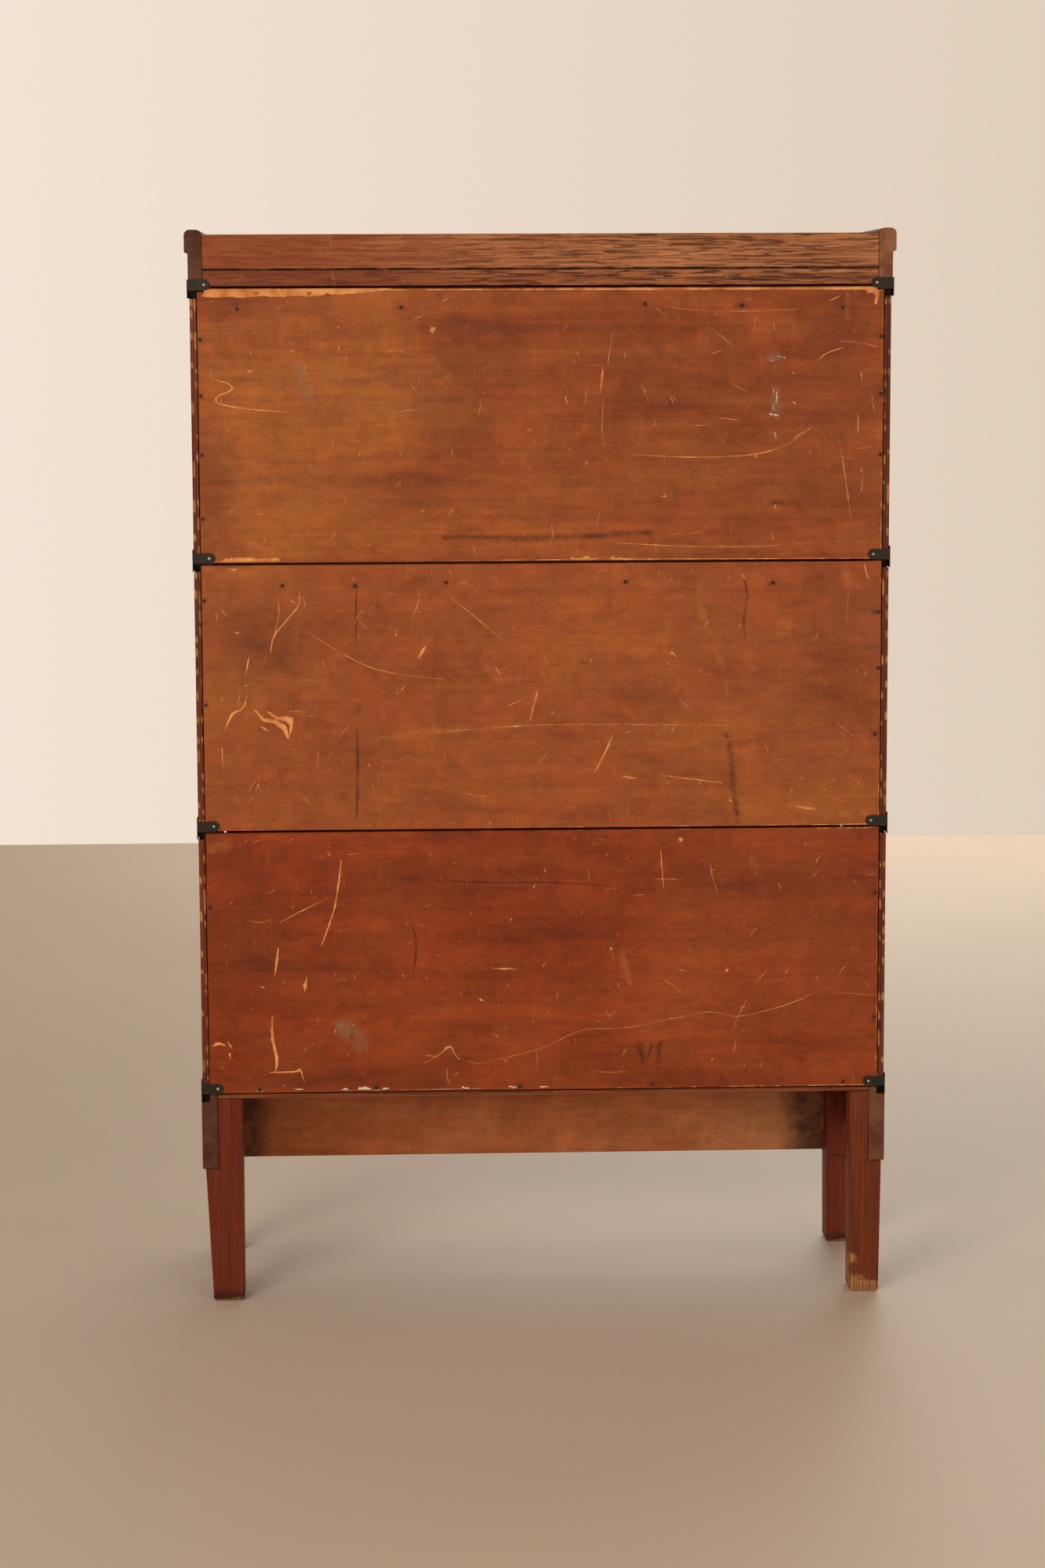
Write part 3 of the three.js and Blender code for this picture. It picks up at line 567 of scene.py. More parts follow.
def cut_across(bm, corner, axis, station):
    """Cuts every face that a plane across an axis meets."""
    point, normal = Vector(corner), Vector((0, 0, 0))
    point[axis], normal[axis] = station, 1.0
    everything = bm.verts[:] + bm.edges[:] + bm.faces[:]
    bmesh.ops.bisect_plane(bm, geom=everything, plane_co=point, plane_no=normal, dist=1e-6)


def worn_copy(node, slot, key, axis=None, ease=None, nick=None, step=None, marks=None, cuts=()):
    """A finished copy of a CAD board: eased and nicked corners, and wear stored on its points."""
    wear = settings("wear")
    ease = wear.ease if ease is None else ease
    nick = wear.nick if nick is None else nick
    step = wear.cut_step if step is None else step
    rng = random.Random(f"{wear.seed}:{node}:0")
    bm = bmesh.new()
    bm.from_mesh(frame["nodes"][node].data)
    bmesh.ops.remove_doubles(bm, verts=bm.verts, dist=0.01 * MM)
    bmesh.ops.dissolve_limit(bm, angle_limit=math.radians(0.5), verts=bm.verts, edges=bm.edges)
    low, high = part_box(node)
    size = high - low
    axis = "XYZ".index(axis) if axis else max(range(3), key=lambda i: size[i])
    flag = bm.faces.layers.int.new("eased")
    corners = [
        e for e in bm.edges
        if len(e.link_faces) == 2 and e.calc_face_angle() > math.radians(35) and e.calc_length() > 12 * ease
    ]
    made = bmesh.ops.bevel(
        bm, geom=corners, offset=ease, offset_type="OFFSET", segments=2, profile=0.55,
        affect="EDGES", clamp_overlap=False,
    )
    for face in made["faces"]:
        face[flag] = 1
    # cuts along the board, where its corners can be nicked
    place = low[axis] + step * rng.uniform(0.3, 0.8)
    stations = []
    while place < high[axis] - 0.2 * step:
        stations.append((axis, place))
        place += step * rng.uniform(0.55, 1.45)
    for cut_axis, station in (*stations, *cuts):
        cut_across(bm, low, cut_axis, station)
    bm.normal_update()
    shift = Vector((rng.random(), rng.random(), rng.random())) * 9.0
    worn = {}
    for v in bm.verts:
        faces = v.link_faces
        if not faces or not all(f[flag] for f in faces):
            continue
        rub = noise.noise(v.co * 22.0 + shift) * 0.5 + 0.5
        chip = noise.noise(v.co * 160.0 + shift)
        depth = max(0.0, chip) ** 1.5 * nick * (0.35 + rub)
        if rng.random() < DEEP_NICKS:
            depth += nick * rng.uniform(0.4, 1.1)
        worn[v] = (depth, min(1.0, 0.18 + 0.75 * rub * rub + depth / max(nick, 1e-6) * 0.7))
    for v, (depth, _) in worn.items():
        v.co -= v.normal * min(depth, DEEPEST_NICK * nick)
    bm.verts.index_update()
    values = [0.0] * len(bm.verts)
    for v, (_, share) in worn.items():
        values[v.index] = share
    mesh = outward(bm, bpy.data.meshes.new(node + "_finished"))
    store(mesh, "wear", values)
    for kind, rule in (marks or {}).items():
        store(mesh, kind, [rule(v.co) for v in mesh.vertices])
    return add_piece(node + "_finished", mesh, finish_for(key), body_of(node), slot, node)


def worn_end(node, slot, soil=0.0):
    """A rail whose rear end is dull and dry."""
    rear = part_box(node)[1].y

    def share(co):
        return max(0.0, 1 - (rear - co.y) / (2 * MM))

    marks = {"dull": share, "soil": lambda co: soil * share(co)}
    return worn_copy(node, slot, "depth", marks=marks, cuts=[(1, rear - 2.2 * MM), (1, rear - 1.2 * MM)])


def chipped_side(level, side):
    """A side board whose rear corners are chipped to the bare wood."""
    node = f"{level}_side_{side}"
    low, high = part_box(node)
    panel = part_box(f"{level}_back_panel")
    outer, seam = (high.x, panel[1].x) if side == "left" else (low.x, panel[0].x)
    inward = -1 if side == "left" else 1

    def chips(co):
        if co.y < high.y - CHIP_DEPTH:
            return 0.0
        share = 0.0
        for place, salt in ((outer, 3.0), (seam, 8.0)):
            if abs(co.x - place) < CHIP_WIDTH:
                share = noise.noise(Vector((place * 9.0, salt, co.z * 95.0)))
        return 1.0 if share > 0.16 else 0.0

    cuts = [(0, outer + inward * 3.0 * MM), (0, outer + inward * 4.0 * MM), (1, high.y - 2.4 * MM)]
    worn_copy(node, "side_wood", "side", axis="Z", step=8 * MM, marks={"raw": chips}, cuts=cuts)


# ---------------------------------------------------------------- back panels

# Marks on the back panels, in millimetres from the corner of the panel at the left
# as seen from behind and from the underside of its section: kind, width, depth share, points.
MARKS = {
    "upper": [
        ("raw", 1.5, 1, [
            (17, 242), (16, 229), (36, 223), (42, 215), (24, 207), (23, 199), (54, 192), (108, 187),
        ]),
        ("ash", 7, 0, [(122, 244), (130, 232), (135, 220), (138, 200)]),
        ("raw", 2, 1, [(287, 291), (289, 286), (293, 289)]),
        ("raw", 1.8, 1, [(284, 285), (289, 286), (288, 281)]),
        ("raw", 1.0, 0.5, [(510, 281), (504, 243)]),
        ("raw", 2.6, 1, [(498, 239), (497, 226), (495, 211)]),
        ("raw", 0.9, 0.6, [(499, 205), (497, 166), (499, 144)]),
        ("raw", 1.1, 0.7, [(509, 135), (560, 131), (620, 129), (685, 132), (724, 143), (752, 160)]),
        ("raw", 1.0, 0.6, [(640, 178), (668, 174)]),
        ("raw", 0.9, 0.5, [(596, 167), (630, 169)]),
        ("raw", 1.1, 0.6, [(733, 151), (752, 162)]),
        ("raw", 1.2, 0.6, [(582, 203), (586, 195)]),
        ("ash", 13, 0, [(704, 251), (722, 251)]),
        ("paint", 2.4, 0, [(715, 253), (722, 251)]),
        ("paint", 1.8, 0, [(706, 248), (709, 247)]),
        ("ash", 8, 0, [(711, 244), (710, 236)]),
        ("ash", 15, 0, [(714, 214), (712, 196), (713, 178)]),
        ("paint", 2.0, 0, [(709, 213), (710, 208)]),
        ("paint", 2.6, 0, [(714, 206), (713, 198)]),
        ("paint", 2.0, 0, [(709, 193), (709, 188)]),
        ("paint", 2.8, 0, [(708, 181), (716, 180)]),
        ("ash", 9, 0, [(709, 163), (712, 152)]),
        ("paint", 2.4, 0, [(712, 158), (713, 153)]),
        ("raw", 1.1, 0.7, [(763, 243), (769, 252), (780, 258), (796, 263)]),
        ("raw", 0.9, 0.6, [(788, 271), (815, 269), (839, 264)]),
        ("raw", 2.4, 1, [(818, 234), (819, 221)]),
        ("raw", 1.6, 0.8, [(815, 182), (815, 159)]),
        ("raw", 1.1, 0.6, [(792, 149), (800, 100), (807, 52)]),
        ("raw", 1.0, 0.6, [(433, 50), (437, 29)]),
        ("raw", 1.0, 0.6, [(495, 65), (489, 41)]),
        ("raw", 0.8, 0.4, [(505, 24), (600, 19), (684, 18), (763, 23)]),
        ("raw", 0.8, 0.4, [(577, 313), (626, 309), (684, 308), (737, 310)]),
        ("raw", 1.4, 0.6, [(710, 296), (709, 290), (713, 281)]),
        ("raw", 1.5, 0.7, [(777, 320), (791, 326)]),
        ("haze", 6, 0, [(801, 331), (800, 306), (801, 290)]),
        ("raw", 12, 0.4, [(838, 331), (836, 318)]),
        ("raw", 6, 0.2, [(824, 334), (846, 335)]),
        ("raw", 5, 0.2, [(24, 3.6), (60, 4.2), (97, 4.6)]),
        ("crack", 1.4, 1, [(40, 2), (40, 8)]),
        ("crack", 1.4, 1, [(67, 2), (68, 8)]),
        ("ash", 14, 0, [(122, 246), (130, 226), (138, 200)]),
        ("dark", 12, 0, [(20, 228), (150, 224), (300, 230)]),
        ("dark", 10, 0, [(15, 135), (120, 126), (250, 134), (340, 133)]),
        ("dark", 13, 0, [(15, 101), (150, 108), (340, 101)]),
        ("dark", 8, 0, [(708, 72), (722, 71)]),
        ("dark", 7, 0, [(44, 313), (54, 313)]),
        ("dark", 7, 0, [(246, 314), (255, 314)]),
        ("dark", 18, 0, [(30, 312), (62, 313)]),
        ("dark", 14, 0, [(238, 312), (258, 311)]),
        ("dark", 13, 0, [(664, 314), (676, 316)]),
        ("dark", 7, 0, [(300, 32), (420, 30), (560, 36)]),
        ("paint", 5, 0, [(62, 238), (64, 237)]),
        ("paint", 4, 0, [(172, 291), (173, 290)]),
        ("paint", 4, 0, [(733, 233), (734, 232)]),
        ("paint", 4, 0, [(735, 196), (736, 195)]),
        ("paint", 2.4, 0, [(420, 3.4), (426, 3.2)]),
        ("paint", 2.4, 0, [(452, 3.4), (474, 3.0)]),
        ("paint", 3.2, 0, [(36, 6), (38, 7.6)]),
        ("raw", 2.4, 0.3, [(430, 3), (470, 3.6), (560, 3)]),
        ("raw", 1.8, 0.3, [(180, 336), (260, 335.6), (420, 336), (560, 335.4)]),
    ],
    "middle": [
        ("raw", 1.3, 0.6, [(95, 287), (95, 272), (89, 245)]),
        ("raw", 1.8, 1, [(121, 299), (119, 283), (102, 262), (88, 244), (84, 222)]),
        ("raw", 1.6, 0.7, [(58, 221), (53, 198)]),
        ("raw", 1.3, 0.6, [(46, 178), (43, 160)]),
        ("raw", 2.6, 1, [(54, 170), (48, 155), (36, 149), (26, 128)]),
        ("raw", 1.4, 0.7, [(22, 111), (23, 79)]),
        ("raw", 7, 1, [(64, 153), (74, 141), (88, 139), (100, 131), (104, 120)]),
        ("raw", 5, 1, [(80, 151), (91, 143), (108, 141), (107, 124)]),
        ("raw", 4, 0.8, [(72, 132), (80, 127)]),
        ("raw", 4.5, 1, [(276, 230), (268, 217)]),
        ("raw", 4, 0.8, [(113, 288), (115, 287)]),
        ("raw", 4, 0.8, [(83, 271), (86, 270)]),
        ("raw", 4, 0.6, [(40, 251), (43, 250)]),
        ("raw", 4, 0.8, [(365, 202), (369, 196)]),
        ("haze", 12, 0, [(345, 214), (372, 182)]),
        ("raw", 0.8, 0.35, [(278, 123), (350, 128), (430, 132), (560, 131), (657, 129)]),
        ("haze", 9, 0, [(190, 112), (280, 124), (420, 133)]),
        ("raw", 3.4, 0.8, [(416, 174), (411, 156), (407, 138)]),
        ("raw", 2.2, 0.8, [(510, 118), (499, 94), (487, 71)]),
        ("raw", 1.1, 0.5, [(566, 68), (606, 62), (646, 57)]),
        ("raw", 5, 0.6, [(522, 66), (538, 64)]),
        ("raw", 4, 0.6, [(742, 26), (764, 22)]),
        ("haze", 22, 0, [(735, 30), (810, 14)]),
        ("raw", 1.4, 0.6, [(776, 40), (806, 30)]),
        ("raw", 3, 0.6, [(824, 331), (829, 312)]),
        ("haze", 14, 0, [(800, 326), (806, 300)]),
        ("haze", 11, 0, [(619, 305), (622, 268), (632, 242)]),
        ("haze", 8, 0, [(634, 236), (650, 195)]),
        ("haze", 13, 0, [(718, 256), (736, 254)]),
        ("raw", 4, 0.7, [(586, 220), (588, 217)]),
        ("raw", 3, 0.6, [(672, 318), (675, 313)]),
        ("dark", 3.4, 0, [(192, 306), (191, 280), (190, 236)]),
        ("dark", 4.4, 0, [(190, 130), (191, 90), (189, 15)]),
        ("dark", 3.4, 0, [(674, 316), (678, 290), (674, 262), (676, 238)]),
        ("dark", 7, 0, [(652, 125), (658, 92), (661, 55), (669, 4)]),
        ("dark", 9, 0, [(185, 306), (194, 305)]),
        ("dark", 9, 0, [(98, 307), (104, 307)]),
        ("dark", 10, 0, [(521, 309), (529, 309)]),
        ("dark", 10, 0, [(706, 307), (713, 307)]),
        ("dark", 9, 0, [(836, 270), (845, 270)]),
        ("dark", 9, 0, [(836, 200), (845, 200)]),
        ("dark", 60, 0, [(60, 240), (100, 226)]),
        ("dark", 5, 0, [(180, 216), (190, 214)]),
        ("raw", 4, 0.2, [(4, 331.5), (70, 330.5)]),
        ("haze", 16, 0, [(10, 328), (76, 323)]),
        ("paint", 4, 0, [(110, 331), (150, 332)]),
        ("paint", 4, 0, [(195, 332), (205, 332)]),
        ("paint", 5, 0, [(575, 331), (592, 331)]),
        ("raw", 0.9, 0.4, [(130, 250), (210, 205), (300, 190)]),
        ("raw", 0.9, 0.4, [(300, 300), (345, 262), (372, 240)]),
    ],
    "lower": [
        ("raw", 2.0, 1, [(169, 299), (165, 266), (158, 231), (143, 190)]),
        ("raw", 1.2, 0.5, [(149, 249), (120, 235), (90, 219)]),
        ("raw", 3.4, 0.7, [(89, 187), (84, 154)]),
        ("raw", 4.5, 0.5, [(124, 151), (121, 131)]),
        ("raw", 4.0, 1, [(80, 97), (80, 72), (85, 44), (83, 30)]),
        ("raw", 2.6, 1, [(77, 28), (88, 28), (110, 29), (114, 32), (119, 17)]),
        ("raw", 4.5, 0.8, [(4, 62), (11, 66), (19, 64)]),
        ("raw", 4.5, 0.8, [(24, 68), (28, 60)]),
        ("raw", 3.5, 0.6, [(26, 50), (27, 46)]),
        ("ash", 26, 0, [(163, 92), (178, 76), (197, 54)]),
        ("raw", 2.2, 1, [(272, 38), (289, 48), (304, 59), (309, 50), (314, 43)]),
        ("raw", 1.4, 0.6, [(272, 48), (284, 46)]),
        ("raw", 0.8, 0.45, [
            (314, 43), (335, 37), (350, 38), (419, 55), (470, 77), (528, 80), (579, 90), (633, 99),
            (667, 93), (712, 102), (748, 114), (782, 129), (794, 123), (844, 118),
        ]),
        ("crack", 1.2, 1, [(290, 271), (350, 268), (430, 267), (508, 262)]),
        ("raw", 1.8, 0.7, [(595, 332), (598, 306)]),
        ("raw", 1.4, 0.6, [(570, 309), (574, 261)]),
        ("haze", 7, 0, [(683, 298), (690, 274)]),
        ("raw", 2.4, 0.4, [(360, 158), (389, 157)]),
        ("haze", 11, 0, [(522, 178), (526, 150), (534, 132)]),
        ("haze", 5, 0, [(343, 168), (345, 158)]),
        ("dark", 10, 0, [(543, 60), (549, 34)]),
        ("dark", 4, 0, [(560, 58), (553, 38)]),
        ("dark", 6, 0, [(570, 62), (567, 28)]),
        ("dark", 40, 0, [(50, 180), (80, 150)]),
        ("dark", 22, 0, [(300, 10), (250, 12)]),
        ("dark", 16, 0, [(160, 20), (100, 12)]),
        ("dark", 18, 0, [(410, 206), (470, 201)]),
        ("dark", 12, 0, [(610, 262), (690, 258)]),
        ("raw", 1.6, 0.3, [(20, 331), (120, 332), (210, 331)]),
        ("paint", 2.8, 0, [(60, 5), (66, 4)]),
        ("paint", 5, 0, [(108, 6), (116, 6)]),
        ("paint", 3, 0, [(165, 5), (176, 5)]),
        ("paint", 2.6, 0, [(188, 5), (206, 4.4)]),
        ("paint", 3, 0, [(216, 5), (226, 5)]),
        ("paint", 3, 0, [(316, 5), (330, 5)]),
        ("paint", 5, 0, [(380, 6), (386, 5)]),
        ("paint", 5, 0, [(418, 5), (426, 5)]),
        ("paint", 4, 0, [(67, 138), (69, 137)]),
        ("paint", 4, 0, [(343, 118), (345, 117)]),
        ("haze", 20, 0, [(2, 312), (30, 322)]),
        ("dark", 3.0, 0, [(255, 224), (262, 190), (258, 150)]),
    ],
}
# Broad lighter (+) and darker (-) places: centre, half-widths and strength, in the same millimetres.
TONES = {
    "upper": [
        (150, 225, 190, 80, 0.75), (110, 70, 150, 50, 0.5), (430, 60, 130, 70, 0.3),
        (640, 100, 140, 40, 0.4), (40, 320, 90, 40, -0.4), (320, 250, 70, 110, -0.4),
        (640, 160, 160, 120, -0.25), (800, 300, 60, 50, -0.45), (15, 80, 40, 90, -0.45),
        (540, 250, 90, 80, -0.2),
    ],
    "middle": [
        (70, 235, 80, 66, -0.7), (800, 210, 60, 100, -0.55), (30, 60, 60, 70, -0.3),
        (150, 100, 110, 50, -0.25), (470, 230, 170, 80, 0.35), (640, 110, 170, 70, 0.35),
        (330, 60, 140, 50, 0.3), (560, 300, 130, 30, 0.2), (820, 40, 50, 40, 0.3),
    ],
    "lower": [
        (55, 190, 80, 90, -0.5), (410, 200, 120, 30, -0.25), (160, 18, 170, 24, -0.6),
        (600, 14, 240, 20, -0.4), (700, 262, 150, 34, -0.4), (800, 190, 60, 90, -0.3),
        (280, 250, 120, 30, -0.25), (300, 110, 160, 60, 0.35), (590, 130, 80, 90, 0.7),
        (340, 300, 170, 26, 0.3), (240, 200, 60, 70, 0.3),
    ],
}
# Nails in the back panels, in the same millimetres.
NAILS = {
    "upper": [
        (49, 313), (250, 314), (550, 317), (670, 315), (795, 312), (3, 276), (3, 207), (3, 135),
        (3, 56), (843, 276), (843, 206), (843, 131),
    ],
    "middle": [
        (100, 308), (190, 307), (303, 311), (526, 310), (710, 308), (843, 270), (843, 200),
        (840, 117), (3, 290), (3, 160),
    ],
    "lower": [
        (63, 6), (210, 7), (392, 6), (560, 6), (803, 7), (842, 250), (4, 240), (842, 90),
    ],
}
PANEL_SPACING = 5.0
PANEL_HEIGHT = 332.0
CHAMFER = 0.9
TONGUE_INSET = 8.3
TOP_RADIUS = 3.0
PEEL_RAMP = 0.45
NARROW = 5
WIDE_STAIN_HALF = 6
SOFT_MARKS = ("dark", "haze", "ash")
# The lower edge of the lost veneer, and the cracks in the wood under it, in the same millimetres.
PEEL_EDGE = [
    (9, 327.5), (22, 326.6), (40, 327.6), (58, 326.4), (80, 328.2), (102, 327.2), (124, 328.6),
    (140, 327.8), (160, 329.8), (182, 330.2), (200, 331.8), (216, 333.0), (232, 335.6), (240, 337.4),
]
PEEL_CRACKS = (31, 45, 58, 73, 90, 110, 128, 137, 160, 190)


def smooth_line(points, step):
    """Points about one step apart on a smooth curve through the given ones."""
    pts = [np.array(p, float) for p in points]
    if len(pts) == 2:
        count = max(2, int(np.linalg.norm(pts[1] - pts[0]) / step) + 1)
        return [pts[0] + (pts[1] - pts[0]) * t for t in np.linspace(0, 1, count)]
    out = []
    for i in range(len(pts) - 1):
        p0, p1, p2, p3 = pts[max(i - 1, 0)], pts[i], pts[i + 1], pts[min(i + 2, len(pts) - 1)]
        count = max(1, int(np.linalg.norm(p2 - p1) / step))
        for t in np.linspace(0, 1, count, endpoint=False):
            out.append(0.5 * (2 * p1 + (p2 - p0) * t + (2 * p0 - 5 * p1 + 4 * p2 - p3) * t * t
                              + (3 * p1 - p0 - 3 * p2 + p3) * t ** 3))
    out.append(pts[-1])
    return out


def closed_line(corners, step):
    """Points about one step apart round an outline."""
    line = []
    for a, b in zip(corners, corners[1:] + corners[:1]):
        a, b = np.array(a, float), np.array(b, float)
        count = max(1, int(np.linalg.norm(b - a) / step))
        line += [a + (b - a) * t for t in np.linspace(0, 1, count, endpoint=False)]
    return line


def stray_marks(count, width, height, rng):
    """Fine seeded scratches that no list gives."""
    marks = []
    for _ in range(count):
        u, v = rng.uniform(8, width - 8), rng.uniform(6, height - 10)
        turn = rng.choice((rng.gauss(1.4, 0.35), rng.gauss(1.9, 0.4), rng.gauss(0.1, 0.3)))
        length = min(rng.expovariate(1 / 8) + 2, 40)
        du, dv = math.cos(turn) * length, math.sin(turn) * length
        end_u, end_v = min(max(u + du, 5), width - 5), min(max(v + dv, 5), height - 8)
        mid_u = (u + end_u) / 2 + rng.gauss(0, 0.04) * length
        mid_v = (v + end_v) / 2 + rng.gauss(0, 0.04) * length
        line = [(u, v), (mid_u, mid_v), (end_u, end_v)]
        marks.append(("raw", rng.uniform(0.4, 0.8), rng.uniform(0.2, 0.75), line))
    for _ in range(count // 3):
        u, v = rng.uniform(8, width - 8), rng.uniform(6, height - 10)
        width_ = rng.uniform(1.4, 3.0)
        marks.append(("raw", width_, 0.6, [(u, v), (u + rng.uniform(-2, 2), v + rng.uniform(1, 3))]))
    return marks


class PanelSheet:
    """The points and cut lines of one back panel, in millimetres on its rear face."""

    def __init__(self, level):
        low, high = (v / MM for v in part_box(f"{level}_back_panel"))
        main_top = low.z + PANEL_HEIGHT
        self.low, self.high = low, high
        self.width = high.x - low.x
        self.base = low.z - PANEL_LIFT
        self.v_low, self.v_main, self.v_top = low.z - self.base, main_top - self.base, high.z - self.base
        self.has_tongue = high.z > main_top + 1.0
        self.top = self.v_top if self.has_tongue else self.v_main
        self.points, self.edges = [], []

    def add_line(self, line, closed=False):
        first = len(self.points)
        self.points.extend((float(p[0]), float(p[1])) for p in line)
        self.edges.extend((first + i, first + i + 1) for i in range(len(line) - 1))
        if closed:
            self.edges.append((first + len(line) - 1, first))

    def inside(self, u, v):
        """Whether a point is far enough in from every edge to take a cut."""
        margin = 1.6
        if self.v_low + margin < v < self.v_main - margin and margin < u < self.width - margin:
            return True
        side = TONGUE_INSET + margin
        return self.has_tongue and self.v_main - 2 < v < self.v_top - 1.0 and side < u < self.width - side

    def draw_border(self):
        """The outline, and the lines along which its corners are eased."""
        width, v_low, v_main, v_top = self.width, self.v_low, self.v_main, self.v_top
        outline = [(0, v_low), (width, v_low), (width, v_main)]
        if self.has_tongue:
            outline += [(width - TONGUE_INSET, v_main), (width - TONGUE_INSET, v_top)]
            outline += [(TONGUE_INSET, v_top), (TONGUE_INSET, v_main)]
        outline += [(0, v_main)]
        self.add_line(closed_line(outline, PANEL_SPACING), closed=True)
        self.add_line([(CHAMFER, v_low + CHAMFER), (width - CHAMFER, v_low + CHAMFER)])
        self.add_line([(CHAMFER, v_low + CHAMFER), (CHAMFER, v_main - 0.5)])
        self.add_line([(width - CHAMFER, v_low + CHAMFER), (width - CHAMFER, v_main - 0.5)])
        inset = TONGUE_INSET + 1.0 if self.has_tongue else CHAMFER
        for drop in ((0.5, 1.5, 3.0) if self.has_tongue else (0.3, 0.9)):
            self.add_line([(inset, self.top - drop), (width - inset, self.top - drop)])

    def scatter(self, rng):
        """Staggered rows of points, each a little off its place."""
        v = self.v_low + PANEL_SPACING * 0.6
        row = 0
        while v < self.v_top:
            u = PANEL_SPACING * (0.5 if row % 2 else 1.0)
            while u < self.width:
                place = (u + rng.uniform(-0.9, 0.9), v + rng.uniform(-0.9, 0.9))
                if self.inside(*place):
                    self.points.append(place)
                u += PANEL_SPACING
            v += PANEL_SPACING * 0.9
            row += 1

    def draw_peel(self, rng):
        """Both sides of the step where the veneer is lost."""
        line = [(p[0], p[1] + rng.uniform(-0.5, 0.5)) for p in smooth_line(PEEL_EDGE, 4.0)]
        self.add_line(line)
        self.add_line([(u, v + PEEL_RAMP) for u, v in line])
        return line

    def cut_mark(self, path, half):
        """Cut lines along a mark's middle and both its sides, if all of it is on the panel."""
        lines = (path, [], [])
        for i, p in enumerate(path):
            run = path[min(i + 1, len(path) - 1)] - path[max(i - 1, 0)]
            run = run / (np.linalg.norm(run) + 1e-9)
            normal = np.array([-run[1], run[0]])
            lines[1].append(p + normal * half[i])
            lines[2].append(p - normal * half[i])
        if all(self.inside(*p) for line in lines for p in line):
            for line in lines:
                self.add_line(line)


def peel_cracks(rng):
    marks = []
    for place in PEEL_CRACKS:
        foot = (place, 328.5 + rng.uniform(0, 1.5))
        marks.append(("crack", 1.5, 1.2, [foot, (place + rng.uniform(-1.5, 1.5), 337.4)]))
    return marks


def mark_path(width, line, rng):
    """A mark's line with a small wander, and its half-width at each point."""
    path = smooth_line(line, 4.0 if width < NARROW else 8.0)
    for p in path[1:-1]:
        p += np.array([rng.gauss(0, 0.12), rng.gauss(0, 0.12)])
    half = []
    for i in range(len(path)):
        taper = min(1.0, 0.35 + 2.2 * min(i, len(path) - 1 - i) / len(path))
        half.append(0.5 * (width * 1.25 + 0.25) * taper * rng.uniform(0.7, 1.25))
    return path, half


def nearness(flat, path, half):
    """The points near a mark, and how near each is: 1 on its middle and 0 at its sides."""
    path = np.array(path)
    reach = max(half) * 1.05 + 0.1
    near = np.where(((flat > path.min(0) - reach) & (flat < path.max(0) + reach)).all(axis=1))[0]
    spot = flat[near]
    best = np.zeros(len(near))
    for i in range(len(path) - 1):
        a, run = path[i], path[i + 1] - path[i]
        t = np.clip(((spot - a) @ run) / (run @ run + 1e-9), 0, 1)
        gap = np.linalg.norm(spot - (a + t[:, None] * run), axis=1)
        best = np.maximum(best, np.clip(1 - gap / (half[i] * (1 - t) + half[i + 1] * t + 1e-6), 0, 1))
    return near, best


def mark_values(level, flat, chains, scratch):
    """Each point's share of every kind of mark, and the depth of its scratches in millimetres."""
    kinds = ("raw", "dark", "haze", "ash", "paint", "crack", "light_tone", "dark_tone")
    values = {kind: np.zeros(len(flat)) for kind in kinds}
    depth = np.zeros(len(flat))
    for kind, width, share, path, half in chains:
        near, best = nearness(flat, path, half)
        if kind in SOFT_MARKS:
            best = best ** 0.7 * (0.3 if kind == "dark" and max(half) > WIDE_STAIN_HALF else 1.0)
        else:
            best = np.clip(best * 2.0, 0, 1)
        strength = 0.3 + 0.7 * min(1.0, share) if kind == "raw" and width < NARROW else 1.0
        values[kind][near] = np.maximum(values[kind][near], best * strength)
        depth[near] = np.maximum(depth[near], best * share * scratch / MM)
    for u, v, reach_u, reach_v, amount in TONES[level]:
        gap = np.hypot((flat[:, 0] - u) / reach_u, (flat[:, 1] - v) / reach_v)
        share = np.clip(1 - gap / 1.4, 0, 1) ** 1.3 * abs(amount)
        kind = "light_tone" if amount > 0 else "dark_tone"
        values[kind] = np.maximum(values[kind], share)
    return values, depth


def rough_field(flat, scale_u, scale_v, salt):
    return np.array([noise.noise(Vector((p[0] * scale_u, p[1] * scale_v, salt))) for p in flat])


def wear_border(sheet, flat, values, depth, peel_line, peel):
    """Eases and rubs the panel's borders, and sinks the place that has lost its veneer."""
    border = np.minimum.reduce([flat[:, 0], sheet.width - flat[:, 0], flat[:, 1] - sheet.v_low])
    depth += np.clip(CHAMFER - border, 0, CHAMFER) * 0.7
    from_top = sheet.top - flat[:, 1]
    if sheet.has_tongue:
        fall = np.clip(TOP_RADIUS - from_top, 0, TOP_RADIUS)
        depth += TOP_RADIUS - np.sqrt(np.clip(TOP_RADIUS ** 2 - fall ** 2, 0, None))
        edge = np.interp(flat[:, 0], *np.array(peel_line).T, left=999, right=999)
        lost = np.clip((flat[:, 1] - edge) / PEEL_RAMP, 0, 1)
        depth += lost * (peel / MM * (1 + 0.5 * rough_field(flat, 0.16, 0.5, 3.0)))
        values["raw"] = np.maximum(values["raw"], lost)
    else:
        depth += np.clip(CHAMFER - from_top, 0, CHAMFER) * 0.7
    edge_rub = np.clip(1.2 - np.minimum(border, from_top) / 1.6, 0, 1)
    ragged = np.clip(rough_field(flat, 0.035, 0.035, 7.0) * 2.0 - 0.25, 0, 0.8)
    values["raw"] = np.maximum(values["raw"], edge_rub * ragged)


